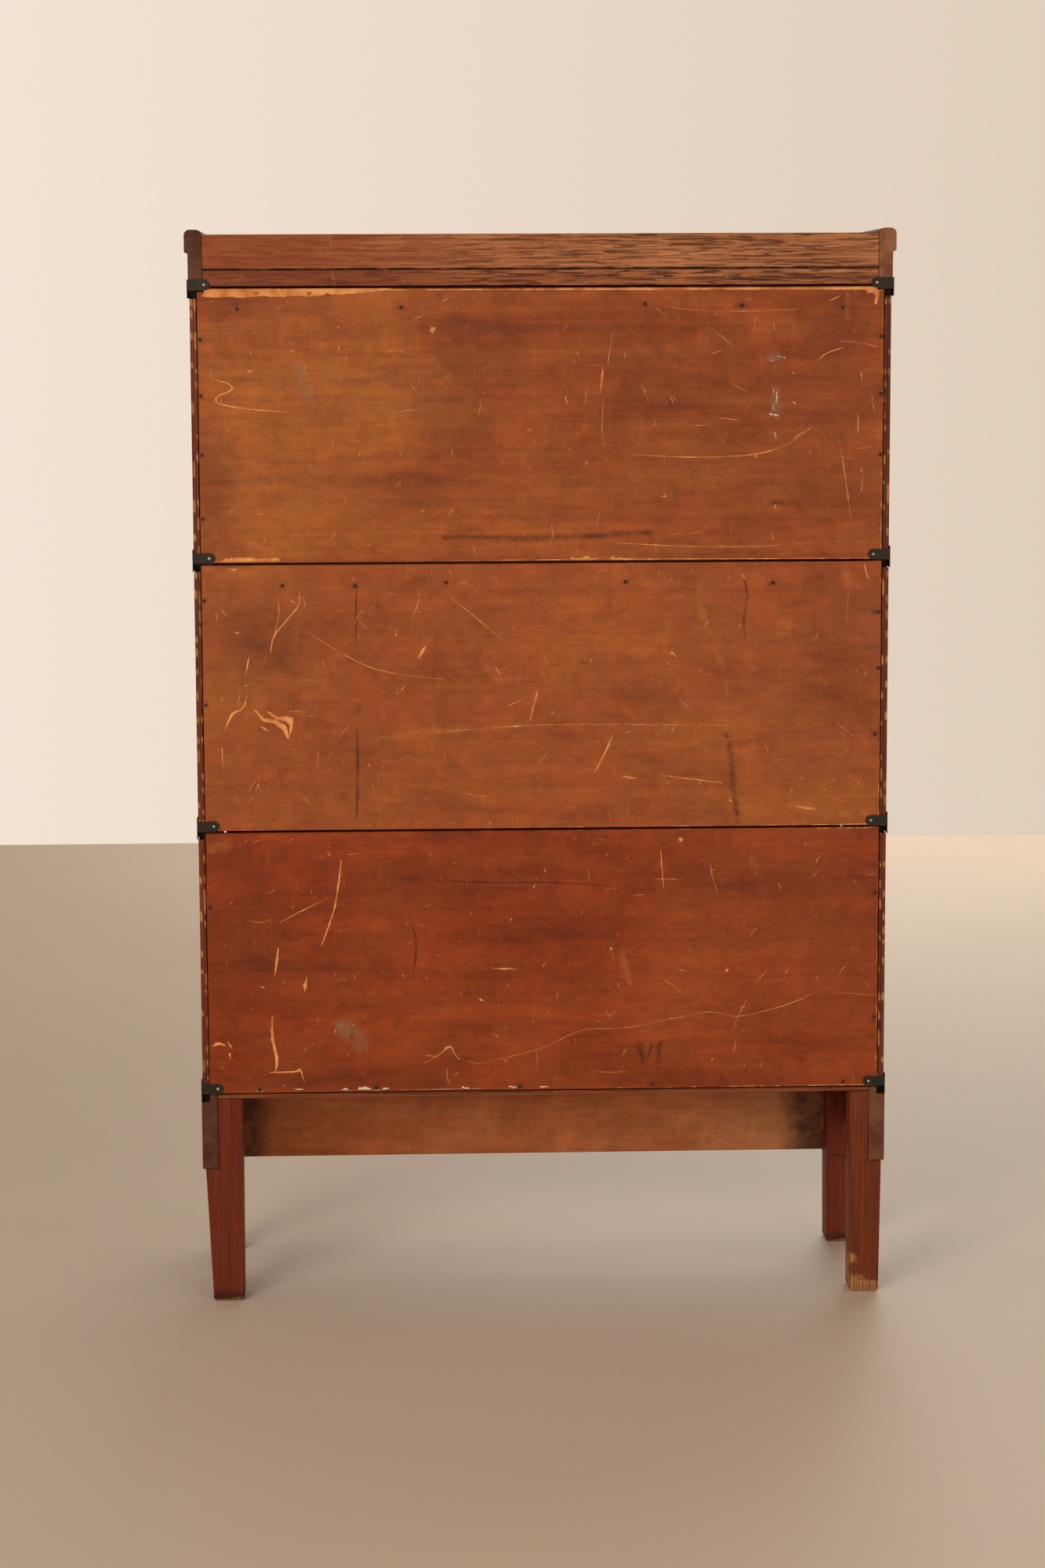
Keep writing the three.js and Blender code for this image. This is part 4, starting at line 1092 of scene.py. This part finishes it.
def thickened(mesh, front, names):
    """Closes a sheet with plain sides and an unmarked front face."""
    bm = bmesh.new()
    bm.from_mesh(mesh)
    grown = bmesh.ops.extrude_edge_only(bm, edges=[e for e in bm.edges if e.is_boundary])["geom"]
    layers = [bm.verts.layers.float[name] for name in names]
    for v in (g for g in grown if isinstance(g, bmesh.types.BMVert)):
        v.co.y = front
        for layer in layers:
            v[layer] = 0.0
    rim = [g for g in grown if isinstance(g, bmesh.types.BMEdge) and g.is_boundary]
    bmesh.ops.triangle_fill(bm, edges=rim, use_beauty=False)
    outward(bm, mesh)


def back_panel(level):
    """One stained back panel with its scratches, stains and worn borders cut into the mesh."""
    wear = settings("wear")
    node = f"{level}_back_panel"
    sheet = PanelSheet(level)
    rng = random.Random(f"{wear.seed}:{level}:panel")
    marks = MARKS[level] + stray_marks(wear.stray, sheet.width, sheet.v_main, rng)
    sheet.draw_border()
    sheet.scatter(rng)
    peel_line = []
    if sheet.has_tongue:
        peel_line = sheet.draw_peel(rng)
        marks += peel_cracks(rng)
    chains = []
    for kind, width, share, line in marks:
        path, half = mark_path(width, line, rng)
        chains.append((kind, width, share, path, half))
        if width < NARROW or kind in ("raw", "paint"):
            sheet.cut_mark(path, half)
    found = delaunay_2d_cdt([Vector(p) for p in sheet.points], sheet.edges, [], 1, 1e-3)
    flat = np.array([tuple(p) for p in found[0]])
    values, depth = mark_values(level, flat, chains, wear.scratch)
    wear_border(sheet, flat, values, depth, peel_line, wear.peel)
    for u, v in NAILS[level]:
        gap = np.hypot(flat[:, 0] - u, (flat[:, 1] - v) * 1.2)
        values["dark"] = np.maximum(values["dark"], np.clip(1 - gap / 8.0, 0, 1) ** 1.4 * 0.7)

    mesh = bpy.data.meshes.new(node + "_finished")
    places = [sheet.high.x - flat[:, 0], sheet.high.y - depth, sheet.base + flat[:, 1]]
    co = np.column_stack(places) * MM
    mesh.from_pydata(co.tolist(), [], [list(t) for t in found[2]])
    for kind, data in values.items():
        store(mesh, kind, data)
    thickened(mesh, sheet.low.y * MM, values)
    key = {"lower": "panel_low", "middle": "panel_middle", "upper": "panel"}[level]
    return add_piece(node + "_finished", mesh, finish_for(key), CABINET, "back_panel_wood", node)


# ---------------------------------------------------------------- small pieces

def glazing_beads(level):
    """Four mitred quarter-round beads that hold a door's glass in its rebate."""
    bead = settings("hardware").bead
    glass_low, glass_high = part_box(f"{level}_door_glass")
    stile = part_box(f"{level}_door_stile_left")
    back = stile[1].y - 0.2 * MM
    front = glass_high.y + 0.05 * MM
    low = Vector((glass_low.x - 0.2 * MM, front, glass_low.z - 0.2 * MM))
    high = Vector((glass_high.x + 0.2 * MM, back, glass_high.z + 0.2 * MM))
    deep = back - front
    radius = deep * 0.8
    profile = [(0.0, 0.0), (0.0, deep)]
    for i in range(7):
        a = math.pi / 2 * (1 - i / 6)
        profile.append((bead - radius + radius * math.cos(a), deep - radius + radius * math.sin(a)))
    profile.append((bead, 0.0))
    gap = 0.15 * MM  # between the mitres
    corners = [(low.x, low.z, 1, 1), (high.x, low.z, -1, 1), (high.x, high.z, -1, -1), (low.x, high.z, 1, -1)]
    verts, faces = [], []
    for i in range(4):
        x0, z0, sx0, sz0 = corners[i]
        x1, z1, sx1, sz1 = corners[(i + 1) % 4]
        run = Vector((x1 - x0, 0, z1 - z0)).normalized()
        first = len(verts)
        for (x, z, sx, sz, sign) in ((x0, z0, sx0, sz0, 1), (x1, z1, sx1, sz1, -1)):
            for across, depth in profile:
                verts.append(Vector((x + sx * across, front + depth, z + sz * across)) + run * gap * sign)
        n = len(profile)
        for j in range(n):
            k = (j + 1) % n
            faces.append((first + j, first + k, first + n + k, first + n + j))
        faces.append(tuple(first + j for j in reversed(range(n))))
        faces.append(tuple(first + n + j for j in range(n)))
    mesh = bpy.data.meshes.new(f"{level}_glazing_beads")
    mesh.from_pydata([tuple(v) for v in verts], [], faces)
    bm = bmesh.new()
    bm.from_mesh(mesh)
    outward(bm, mesh)
    return add_piece(f"{level}_glazing_beads", mesh, finish_for("rail"), f"{level}_door", "door_wood")


def turned(name, centre, profile, material, body, slot, node, segments=40):
    """A turned piece whose axis runs along Y through centre; profile is (y, radius) pairs."""
    bm = bmesh.new()
    loops = []
    for y, radius in profile:
        if radius < 1e-7:
            loops.append([bm.verts.new((centre[0], y, centre[1]))])
            continue
        turns = [2 * math.pi * i / segments for i in range(segments)]
        loops.append([
            bm.verts.new((centre[0] + radius * math.cos(a), y, centre[1] + radius * math.sin(a)))
            for a in turns
        ])
    for a, b in zip(loops, loops[1:]):
        for i in range(segments):
            j = (i + 1) % segments
            if len(a) == 1:
                bm.faces.new((a[0], b[i], b[j]))
            elif len(b) == 1:
                bm.faces.new((a[i], a[j], b[0]))
            else:
                bm.faces.new((a[i], a[j], b[j], b[i]))
    for face in bm.faces:
        face.smooth = True
    mesh = outward(bm, bpy.data.meshes.new(name))
    return add_piece(name, mesh, material, body, slot, node)


# A knob's profile from its back to its face: share of its depth, share of its largest radius.
KNOB_SHAPE = [
    (0.0, 0.0), (0.0, 0.86), (0.05, 0.92), (0.10, 0.86), (0.13, 0.62), (0.16, 0.44), (0.26, 0.36),
    (0.38, 0.36), (0.46, 0.46), (0.52, 0.70), (0.58, 0.88), (0.64, 0.97), (0.70, 1.0), (0.76, 0.985),
    (0.81, 0.93), (0.835, 0.86), (0.85, 0.88), (0.88, 0.84), (0.93, 0.66), (0.97, 0.42),
    (0.992, 0.2), (1.0, 0.0),
]


def door_knob(level, side):
    node = f"{level}_door_knob_{side}"
    low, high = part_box(node)
    r = settings("hardware").knob
    centre = ((low.x + high.x) / 2, (low.z + high.z) / 2)
    deep = high.y - low.y
    profile = [(high.y - t * deep, share * r) for t, share in KNOB_SHAPE]
    body = f"{level}_door"
    return turned(node + "_finished", centre, profile, finish_for("knob"), body, "knob_brass", node)


def shade_strip(level, side):
    """A dark strip of painted shade that closes the groove behind a band from end to end."""
    low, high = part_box(f"{level}_band_{side}")
    outer, inward = (high.x, -1) if side == "left" else (low.x, 1)
    near, far = outer + inward * 1.9 * MM, outer + inward * 10.0 * MM
    front, rear = low.y + 24 * MM, high.y - 15 * MM
    bottom, top = low.z - 0.2 * MM, low.z + 8.4 * MM
    corners = ((near, front, bottom), (far, rear, top))
    bm = bmesh.new()
    bmesh.ops.create_cube(bm, size=1.0)
    for v in bm.verts:
        v.co = Vector(corners[0][i] if v.co[i] < 0 else corners[1][i] for i in range(3))
    mesh = outward(bm, bpy.data.meshes.new(f"{level}_shade_strip_{side}"))
    return add_piece(mesh.name, mesh, finish_for("joint"), CABINET, "side_wood")


# ---------------------------------------------------------------- nails, screws and brads

def fixings_tree():
    """Geometry Nodes: a domed head, slotted or plain, on every point, facing as the point says."""
    tree = bpy.data.node_groups.new("fixing_heads", "GeometryNodeTree")
    face = tree.interface
    face.new_socket("Geometry", in_out="INPUT", socket_type="NodeSocketGeometry")
    sockets = {}
    for name, kind, default in (
        ("Head Diameter", "NodeSocketFloat", 0.005), ("Head Rise", "NodeSocketFloat", 0.0008),
        ("Slot Width", "NodeSocketFloat", 0.0), ("Size Spread", "NodeSocketFloat", 0.08),
        ("Seed", "NodeSocketInt", 0), ("Finish", "NodeSocketMaterial", None),
    ):
        sockets[name] = face.new_socket(name, in_out="INPUT", socket_type=kind)
        if default is not None:
            sockets[name].default_value = default
    face.new_socket("Geometry", in_out="OUTPUT", socket_type="NodeSocketGeometry")
    source = tree.nodes.new("NodeGroupInput").outputs

    def node(kind, inputs, **attributes):
        made = tree.nodes.new(kind)
        for key, value in attributes.items():
            setattr(made, key, value)
        for key, value in inputs.items():
            if isinstance(value, bpy.types.NodeSocket):
                tree.links.new(value, made.inputs[key])
            else:
                made.inputs[key].default_value = value
        return made

    def maths(operation, a, b):
        return node("ShaderNodeMath", {0: a, 1: b}, operation=operation).outputs[0]

    radius = maths("MULTIPLY", source["Head Diameter"], 0.5)
    flat = maths("DIVIDE", source["Head Rise"], radius)
    scale = node("ShaderNodeCombineXYZ", {"X": 1.0, "Y": 1.0, "Z": flat}).outputs[0]
    ball = node("GeometryNodeMeshUVSphere", {"Segments": 14, "Rings": 8, "Radius": radius}).outputs["Mesh"]
    head = node("GeometryNodeTransform", {"Geometry": ball, "Scale": scale}).outputs[0]
    slot_size = node("ShaderNodeCombineXYZ", {
        "X": maths("MULTIPLY", source["Head Diameter"], 1.4), "Y": source["Slot Width"],
        "Z": source["Head Rise"],
    }).outputs[0]
    bar = node("GeometryNodeMeshCube", {"Size": slot_size}).outputs["Mesh"]
    lift = node("ShaderNodeCombineXYZ", {"Z": source["Head Rise"]}).outputs[0]
    bar = node("GeometryNodeTransform", {"Geometry": bar, "Translation": lift}).outputs[0]
    both = {"Mesh 1": head, "Mesh 2": bar}
    slotted = node("GeometryNodeMeshBoolean", both, operation="DIFFERENCE").outputs["Mesh"]
    wide = {"A": source["Slot Width"], "B": 0.0001}
    has_slot = node("FunctionNodeCompare", wide, data_type="FLOAT", operation="GREATER_THAN").outputs[0]
    choice = {"Switch": has_slot, "False": head, "True": slotted}
    shape = node("GeometryNodeSwitch", choice, input_type="GEOMETRY").outputs[0]
    facing = node("GeometryNodeInputNamedAttribute", {"Name": "facing"}, data_type="FLOAT_VECTOR").outputs[0]
    turn = node("FunctionNodeAlignRotationToVector", {"Vector": facing}, axis="Z").outputs[0]
    half_turn = {"Min": 0.0, "Max": math.pi, "Seed": source["Seed"]}
    spin = node("FunctionNodeRandomValue", half_turn, data_type="FLOAT")
    spin_z = node("ShaderNodeCombineXYZ", {"Z": spin.outputs[1]}).outputs[0]
    about = node("FunctionNodeEulerToRotation", {0: spin_z}).outputs[0]
    turns = {"Rotation": turn, "Rotate By": about}
    turn = node("FunctionNodeRotateRotation", turns, rotation_space="LOCAL").outputs[0]
    small = maths("SUBTRACT", 1.0, source["Size Spread"])
    large = maths("ADD", 1.0, source["Size Spread"])
    sizes = {"Min": small, "Max": large, "Seed": source["Seed"]}
    size = node("FunctionNodeRandomValue", sizes, data_type="FLOAT").outputs[1]
    placed = node("GeometryNodeInstanceOnPoints", {
        "Points": source["Geometry"], "Instance": shape, "Rotation": turn, "Scale": size,
    }).outputs[0]
    real = node("GeometryNodeRealizeInstances", {"Geometry": placed}).outputs[0]
    dressed = node("GeometryNodeSetMaterial", {"Geometry": real, "Material": source["Finish"]}).outputs[0]
    output = tree.nodes.new("NodeGroupOutput")
    tree.links.new(dressed, output.inputs[0])
    return tree, sockets


def fix_heads(name, spots, diameter, rise, slot_width, key, body, slot):
    """One mesh of heads at spots, each a (point, facing) pair in metres."""
    tree, sockets = fixings_tree()
    host_mesh = bpy.data.meshes.new(name + "_points")
    host_mesh.from_pydata([tuple(p) for p, _ in spots], [], [])
    facing = host_mesh.attributes.new("facing", "FLOAT_VECTOR", "POINT")
    facing.data.foreach_set("vector", np.array([tuple(f) for _, f in spots], np.float32).ravel())
    host = bpy.data.objects.new(name + "_points", host_mesh)
    bpy.context.scene.collection.objects.link(host)
    modifier = host.modifiers.new("heads", "NODES")
    modifier.node_group = tree
    for label, value in (
        ("Head Diameter", diameter), ("Head Rise", rise), ("Slot Width", slot_width),
        ("Seed", settings("wear").seed), ("Finish", finish_for(key)),
    ):
        modifier[sockets[label].identifier] = value
    bpy.context.view_layer.update()
    graph = bpy.context.evaluated_depsgraph_get()
    mesh = bpy.data.meshes.new_from_object(host.evaluated_get(graph))
    host.modifiers.remove(modifier)
    bpy.data.objects.remove(host)
    mesh.name = name
    if not mesh.polygons:
        raise RuntimeError(f"{name} has no heads")
    return add_piece(name, mesh, None, body, slot)


# ---------------------------------------------------------------- operators

class BookcaseOperator:
    bl_options = {"REGISTER", "UNDO"}


class BOOKCASE_OT_back_panels(BookcaseOperator, bpy.types.Operator):
    """Make the three stained back panels with their scratches and stains"""
    bl_idname = "bookcase.back_panels"
    bl_label = "Back panels"

    def execute(self, context):
        for level in LEVELS:
            back_panel(level)
        return {"FINISHED"}


class BOOKCASE_OT_cap(BookcaseOperator, bpy.types.Operator):
    """Make the cap's boards, rails and front moulding"""
    bl_idname = "bookcase.cap"
    bl_label = "Cap"

    def execute(self, context):
        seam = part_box("cap_back_board_lower")[1].z
        dirt = {"soil": lambda co: 1.0 if abs(co.z - seam) < 1.3 * MM else 0.0}
        worn_copy("cap_back_board_lower", "cap_wood", "cap_low", ease=1.1 * MM, nick=1.8 * MM,
                  step=11 * MM, marks=dirt, cuts=[(2, seam - 1.9 * MM)])
        worn_copy("cap_back_board_upper", "cap_wood", "cap", ease=1.0 * MM, marks=dirt,
                  cuts=[(2, seam + 2.2 * MM)])
        worn_copy("cap_top_panel", "cap_wood", "rail")
        worn_copy("cap_front_moulding", "cap_wood", "rail")
        for side in SIDES:
            worn_end(f"cap_side_rail_{side}", "cap_wood")
        return {"FINISHED"}


class BOOKCASE_OT_sides(BookcaseOperator, bpy.types.Operator):
    """Make the six side boards"""
    bl_idname = "bookcase.sides"
    bl_label = "Sides"

    def execute(self, context):
        for level in LEVELS:
            for side in SIDES:
                chipped_side(level, side)
        return {"FINISHED"}


class BOOKCASE_OT_shelves(BookcaseOperator, bpy.types.Operator):
    """Make the three shelves with their front rails"""
    bl_idname = "bookcase.shelves"
    bl_label = "Shelves"

    def execute(self, context):
        for level in LEVELS:
            shelf = worn_copy(f"{level}_shelf", "shelf_wood", "inside", step=40 * MM)
            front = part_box(f"{level}_shelf")[0].y + SHELF_RAIL
            shelf.data.materials.append(finish_for("rail"))
            for face in shelf.data.polygons:
                face.material_index = 1 if face.center.y < front else 0
        return {"FINISHED"}


class BOOKCASE_OT_doors(BookcaseOperator, bpy.types.Operator):
    """Make the door frames, the beads behind the glass, and the glass finish"""
    bl_idname = "bookcase.doors"
    bl_label = "Doors"

    def execute(self, context):
        for level in LEVELS:
            for side in SIDES:
                worn_copy(f"{level}_door_stile_{side}", "door_wood", "side", step=30 * MM, nick=0.6 * MM)
            for place in ("top", "bottom"):
                worn_copy(f"{level}_door_{place}_rail", "door_wood", "rail", step=40 * MM, nick=0.6 * MM)
            glazing_beads(level)
            dress(f"{level}_door_glass", "glass")
        return {"FINISHED"}


class BOOKCASE_OT_knobs(BookcaseOperator, bpy.types.Operator):
    """Turn the six brass door knobs"""
    bl_idname = "bookcase.knobs"
    bl_label = "Knobs"

    def execute(self, context):
        for level in LEVELS:
            for side in SIDES:
                door_knob(level, side)
        return {"FINISHED"}


class BOOKCASE_OT_carriages(BookcaseOperator, bpy.types.Operator):
    """Give the sliding door carriages their steel"""
    bl_idname = "bookcase.carriages"
    bl_label = "Door carriages"

    def execute(self, context):
        for level in LEVELS:
            dress(f"{level}_door_carriage", "carriage")
        return {"FINISHED"}


def worn_leg(end, side):
    """A leg rubbed bare at its foot, with a line of dirt just above the floor."""
    node = f"base_leg_{end}_{side}"
    near_right = (end, side) == ("rear", "right")
    slope, reach = (-1, 0.062) if near_right else (1, 0.007)
    centre = sum(v.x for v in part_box(node)) / 2
    dirt = 0.3 if near_right else 0.9

    def bare(co):
        height = reach * (0.62 - slope * 18 * (co.x - centre))
        return max(0.0, 1 - co.z / height) ** 0.5 * 0.9

    def soil(co):
        return max(0.0, 1 - abs(co.z - 0.006) / 0.010) * dirt

    worn_copy(node, "base_wood", "leg_pale" if near_right else "leg", axis="Z",
              marks={"raw": bare, "soil": soil}, cuts=[(2, z * MM) for z in (6, 12, 20, 32, 46, 60)])


class BOOKCASE_OT_base(BookcaseOperator, bpy.types.Operator):
    """Make the legged base with its rails, apron, blocks and dust panel"""
    bl_idname = "bookcase.base"
    bl_label = "Base"

    def execute(self, context):
        # painted shadow beside the legs: the apron's back darkens from this far from the middle outwards, on
        # the left and the right from behind
        left_start, right_start, fade = 0.350, 0.325, 0.03

        def painted_leg_shadow(co):
            start = left_start if co.x > 0 else right_start
            return min(1.0, max(0.0, (abs(co.x) - start) / fade))

        ends = [(0, place) for place in (-0.355, -0.34, -0.325, 0.350, 0.365, 0.38)]
        apron = worn_copy("base_front_apron", "base_wood", "rail", step=20 * MM,
                          marks={"dark": painted_leg_shadow}, cuts=ends)
        # the back face, towards +Y, takes the brighter copy: painted light
        apron.data.materials.append(finish_for("apron"))
        for face in apron.data.polygons:
            face.material_index = 1 if face.normal.y > 0.5 else 0
        worn_copy("base_dust_panel", "base_wood", "inside", step=30 * MM)
        for side in SIDES:
            worn_end(f"base_side_rail_{side}", "base_wood", 0.1 if side == "left" else 0.45)
            worn_copy(f"base_corner_block_{side}", "base_wood", "leg", axis="Z")
            for end in ("rear", "front"):
                worn_leg(end, side)
        return {"FINISHED"}


class BOOKCASE_OT_bands(BookcaseOperator, bpy.types.Operator):
    """Make the iron bands over the joints"""
    bl_idname = "bookcase.bands"
    bl_label = "Iron bands"

    def execute(self, context):
        for level in BAND_LEVELS:
            for side in SIDES:
                worn_copy(f"{level}_band_{side}", "band_steel", "band", ease=0.25 * MM,
                          nick=0.12 * MM, step=12 * MM)
                # a dark strip of painted shade in the groove behind the band
                shade_strip(level, side)
        return {"FINISHED"}


BEHIND, AHEAD = Vector((0, 1, 0)), Vector((0, -1, 0))


def panel_nails():
    hardware = settings("hardware")
    nails = []
    for level in LEVELS:
        low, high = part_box(f"{level}_back_panel")
        base = low.z - PANEL_LIFT * MM
        for u, v in NAILS[level]:
            nails.append((Vector((high.x - u * MM, high.y, base + v * MM)), BEHIND))
    fix_heads("panel_nails", nails, hardware.nail, hardware.nail_rise, 0.0, "nail", CABINET,
              "back_panel_wood")


def band_fixings():
    """A nail in each band's rear return and a screw in its front one."""
    hardware = settings("hardware")
    nails, screws = [], []
    for level in BAND_LEVELS:
        joint = CAP_JOINT
        if level != "cap":
            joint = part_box(f"{level}_back_panel")[0].z - PANEL_LIFT * MM
        for side, sign in (("left", 1), ("right", -1)):
            low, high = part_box(f"{level}_band_{side}")
            outer = high.x if sign > 0 else low.x
            nails.append((Vector((outer - sign * 21 * MM, high.y, joint + 7.5 * MM)), BEHIND))
            screws.append((Vector((outer - sign * 8 * MM, low.y, joint + 5 * MM)), AHEAD))
    fix_heads("band_nails", nails, hardware.band_nail, 0.9 * MM, 0.0, "bright_nail", CABINET, "band_steel")
    fix_heads("band_screws", screws, hardware.screw, 1.0 * MM, 0.9 * MM, "band", CABINET, "band_steel")


def bead_brads(level):
    hardware = settings("hardware")
    low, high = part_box(f"{level}_door_glass")
    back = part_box(f"{level}_door_stile_left")[1].y - 0.9 * MM
    reach = hardware.bead * 0.42
    brads = []
    for i in range(7):
        x = low.x + (high.x - low.x) * (i + 0.5) / 7
        brads += [(Vector((x, back, z)), BEHIND) for z in (low.z + reach, high.z - reach)]
    for i in range(3):
        z = low.z + (high.z - low.z) * (i + 0.5) / 3
        brads += [(Vector((x, back, z)), BEHIND) for x in (low.x + reach, high.x - reach)]
    fix_heads(f"{level}_bead_brads", brads, hardware.brad, 0.3 * MM, 0.0, "nail", f"{level}_door",
              "door_wood")


class BOOKCASE_OT_fixings(BookcaseOperator, bpy.types.Operator):
    """Drive the nails, screws and brads"""
    bl_idname = "bookcase.fixings"
    bl_label = "Nails and screws"

    def execute(self, context):
        panel_nails()
        band_fixings()
        for level in LEVELS:
            bead_brads(level)
        return {"FINISHED"}


def dress(node, key):
    """Gives a CAD piece whose shape is right its finish."""
    piece = frame["nodes"][node]
    piece.data.materials.clear()
    piece.data.materials.append(finish_for(key))


def area_light(name, place, aim, size, power, colour):
    light = bpy.data.lights.new(name, "AREA")
    light.shape = "RECTANGLE"
    light.size, light.size_y = size
    light.energy = power
    light.color = colour
    lamp = bpy.data.objects.new(name, light)
    lamp.location = place
    lamp.rotation_euler = (Vector(aim) - Vector(place)).to_track_quat("-Z", "Y").to_euler()
    lamp.visible_camera = False
    bpy.context.scene.collection.objects.link(lamp)


def pale_floor(studio):
    """A wide square floor with rounded corners."""
    reach, corner, segments = 3.75, 2.3, 23
    bm = bmesh.new()
    rim = []
    for quarter in range(4):
        cx = (reach - corner) * (1 if quarter in (0, 3) else -1)
        cy = (reach - corner) * (1 if quarter in (0, 1) else -1)
        for i in range(segments + 1):
            a = math.pi / 2 * (quarter + i / segments)
            rim.append(bm.verts.new((cx + corner * math.cos(a), cy + corner * math.sin(a), 0)))
    bm.faces.new(rim)
    mesh = bpy.data.meshes.new("floor")
    bm.to_mesh(mesh)
    bm.free()
    floor = bpy.data.objects.new("floor", mesh)
    bpy.context.scene.collection.objects.link(floor)
    s = Shader("floor_paint")
    tone = linear(studio.floor)
    shaded = (*(c * 0.96 for c in tone[:3]), 1.0)
    s.finish({
        "Base Color": s.ramp(s.noise(s.object_space, 1.3, 3.0), [(0.3, shaded), (0.7, tone)]),
        "Roughness": 0.55, "Specular IOR Level": 0.3,
    })
    mesh.materials.append(s.material)


def surroundings(studio):
    """A pale world, brighter on the lit side, and dimmer as a light than it looks to the camera."""
    world = bpy.data.worlds.new("studio")
    bpy.context.scene.world = world
    world.use_nodes = True
    tree = world.node_tree
    nodes, link = tree.nodes, tree.links.new
    parts = nodes.new("ShaderNodeSeparateXYZ")
    link(nodes.new("ShaderNodeTexCoord").outputs["Generated"], parts.inputs[0])
    spread = nodes.new("ShaderNodeMapRange")
    spread.inputs["From Min"].default_value = -0.22
    spread.inputs["From Max"].default_value = 0.24
    link(parts.outputs["X"], spread.inputs["Value"])
    ramp = nodes.new("ShaderNodeValToRGB")
    ramp.color_ramp.elements[0].color = linear(studio.wall_dim)
    ramp.color_ramp.elements[1].color = linear(studio.wall_bright)
    link(spread.outputs[0], ramp.inputs[0])
    choose = nodes.new("ShaderNodeMixShader")
    link(nodes.new("ShaderNodeLightPath").outputs["Is Camera Ray"], choose.inputs[0])
    seen, glow = nodes["Background"], nodes.new("ShaderNodeBackground")
    for place, (background, strength) in enumerate(((glow, studio.glow), (seen, 1.0)), 1):
        background.inputs["Strength"].default_value = strength
        link(ramp.outputs[0], background.inputs["Color"])
        link(background.outputs[0], choose.inputs[place])
    link(choose.outputs[0], nodes["World Output"].inputs["Surface"])


def studio_camera(studio):
    data = bpy.data.cameras.new("camera")
    data.lens = studio.lens
    data.sensor_width = 36.0
    data.clip_end = 60
    camera = bpy.data.objects.new("camera", data)
    bpy.context.scene.collection.objects.link(camera)
    eye, aim = Vector((0.190, 4.397, 1.2315)), Vector((0.0262, 0.1514, 0.6605))
    roll = Matrix.Rotation(math.radians(-0.24), 4, "Z")
    turn = (aim - eye).to_track_quat("-Z", "Y").to_matrix().to_4x4() @ roll
    camera.matrix_world = Matrix.Translation(eye) @ turn
    bpy.context.scene.camera = camera


class BOOKCASE_OT_stage(BookcaseOperator, bpy.types.Operator):
    """Set up the pale floor, the soft lights and the camera"""
    bl_idname = "bookcase.stage"
    bl_label = "Floor, lights and camera"

    def execute(self, context):
        studio = settings("studio")
        pale_floor(studio)
        surroundings(studio)
        area_light("key", (2.3, 4.4, 2.0), (0, 0, 0.55), (2.0, 1.8), studio.key, (1.0, 0.95, 0.88))
        area_light("fill", (-2.0, 4.4, 0.9), (0, 0, 0.3), (2.6, 1.6), studio.fill, (1.0, 0.95, 0.9))
        area_light("far_side", (-1.4, -4.4, 1.9), (0, 0, 0.6), (3.4, 2.6), studio.key * 0.75,
                   (1.0, 0.96, 0.9))
        studio_camera(studio)
        context.scene.view_settings.view_transform = "Standard"
        return {"FINISHED"}


BUILD_STEPS = (
    BOOKCASE_OT_back_panels, BOOKCASE_OT_cap, BOOKCASE_OT_sides, BOOKCASE_OT_shelves, BOOKCASE_OT_doors,
    BOOKCASE_OT_knobs, BOOKCASE_OT_carriages, BOOKCASE_OT_base, BOOKCASE_OT_bands, BOOKCASE_OT_fixings,
    BOOKCASE_OT_stage,
)


class BOOKCASE_PT_sidebar(bpy.types.Panel):
    """Lists the steps that build the bookcase"""
    bl_idname = "BOOKCASE_PT_sidebar"
    bl_label = "Barrister bookcase"
    bl_space_type = "VIEW_3D"
    bl_region_type = "UI"
    bl_category = "Bookcase"

    def draw(self, context):
        column = self.layout.column(align=True)
        for step in BUILD_STEPS:
            column.operator(step.bl_idname)
        for kind in ("finish", "wear", "hardware", "studio"):
            box = self.layout.box()
            box.label(text=kind.capitalize())
            group = settings(kind)
            for name in group.bl_rna.properties.keys():
                if name not in ("rna_type", "name"):
                    box.prop(group, name)


GROUPS = {
    "finish": BOOKCASE_PG_finish, "wear": BOOKCASE_PG_wear,
    "hardware": BOOKCASE_PG_hardware, "studio": BOOKCASE_PG_studio,
}


def register():
    for group in GROUPS.values():
        bpy.utils.register_class(group)
    for kind, group in GROUPS.items():
        setattr(bpy.types.Scene, "bookcase_" + kind, PointerProperty(type=group))
    for step in BUILD_STEPS:
        bpy.utils.register_class(step)
    bpy.utils.register_class(BOOKCASE_PT_sidebar)


def unregister():
    bpy.utils.unregister_class(BOOKCASE_PT_sidebar)
    for step in reversed(BUILD_STEPS):
        bpy.utils.unregister_class(step)
    for kind in GROUPS:
        delattr(bpy.types.Scene, "bookcase_" + kind)
    for group in reversed(list(GROUPS.values())):
        bpy.utils.unregister_class(group)


def main():
    register()
    for step in BUILD_STEPS:
        name = step.bl_idname.split(".")[1]
        if getattr(bpy.ops.bookcase, name)() != {"FINISHED"}:
            raise RuntimeError(f"{step.bl_label} did not finish")


if __name__ == "__main__":
    main()
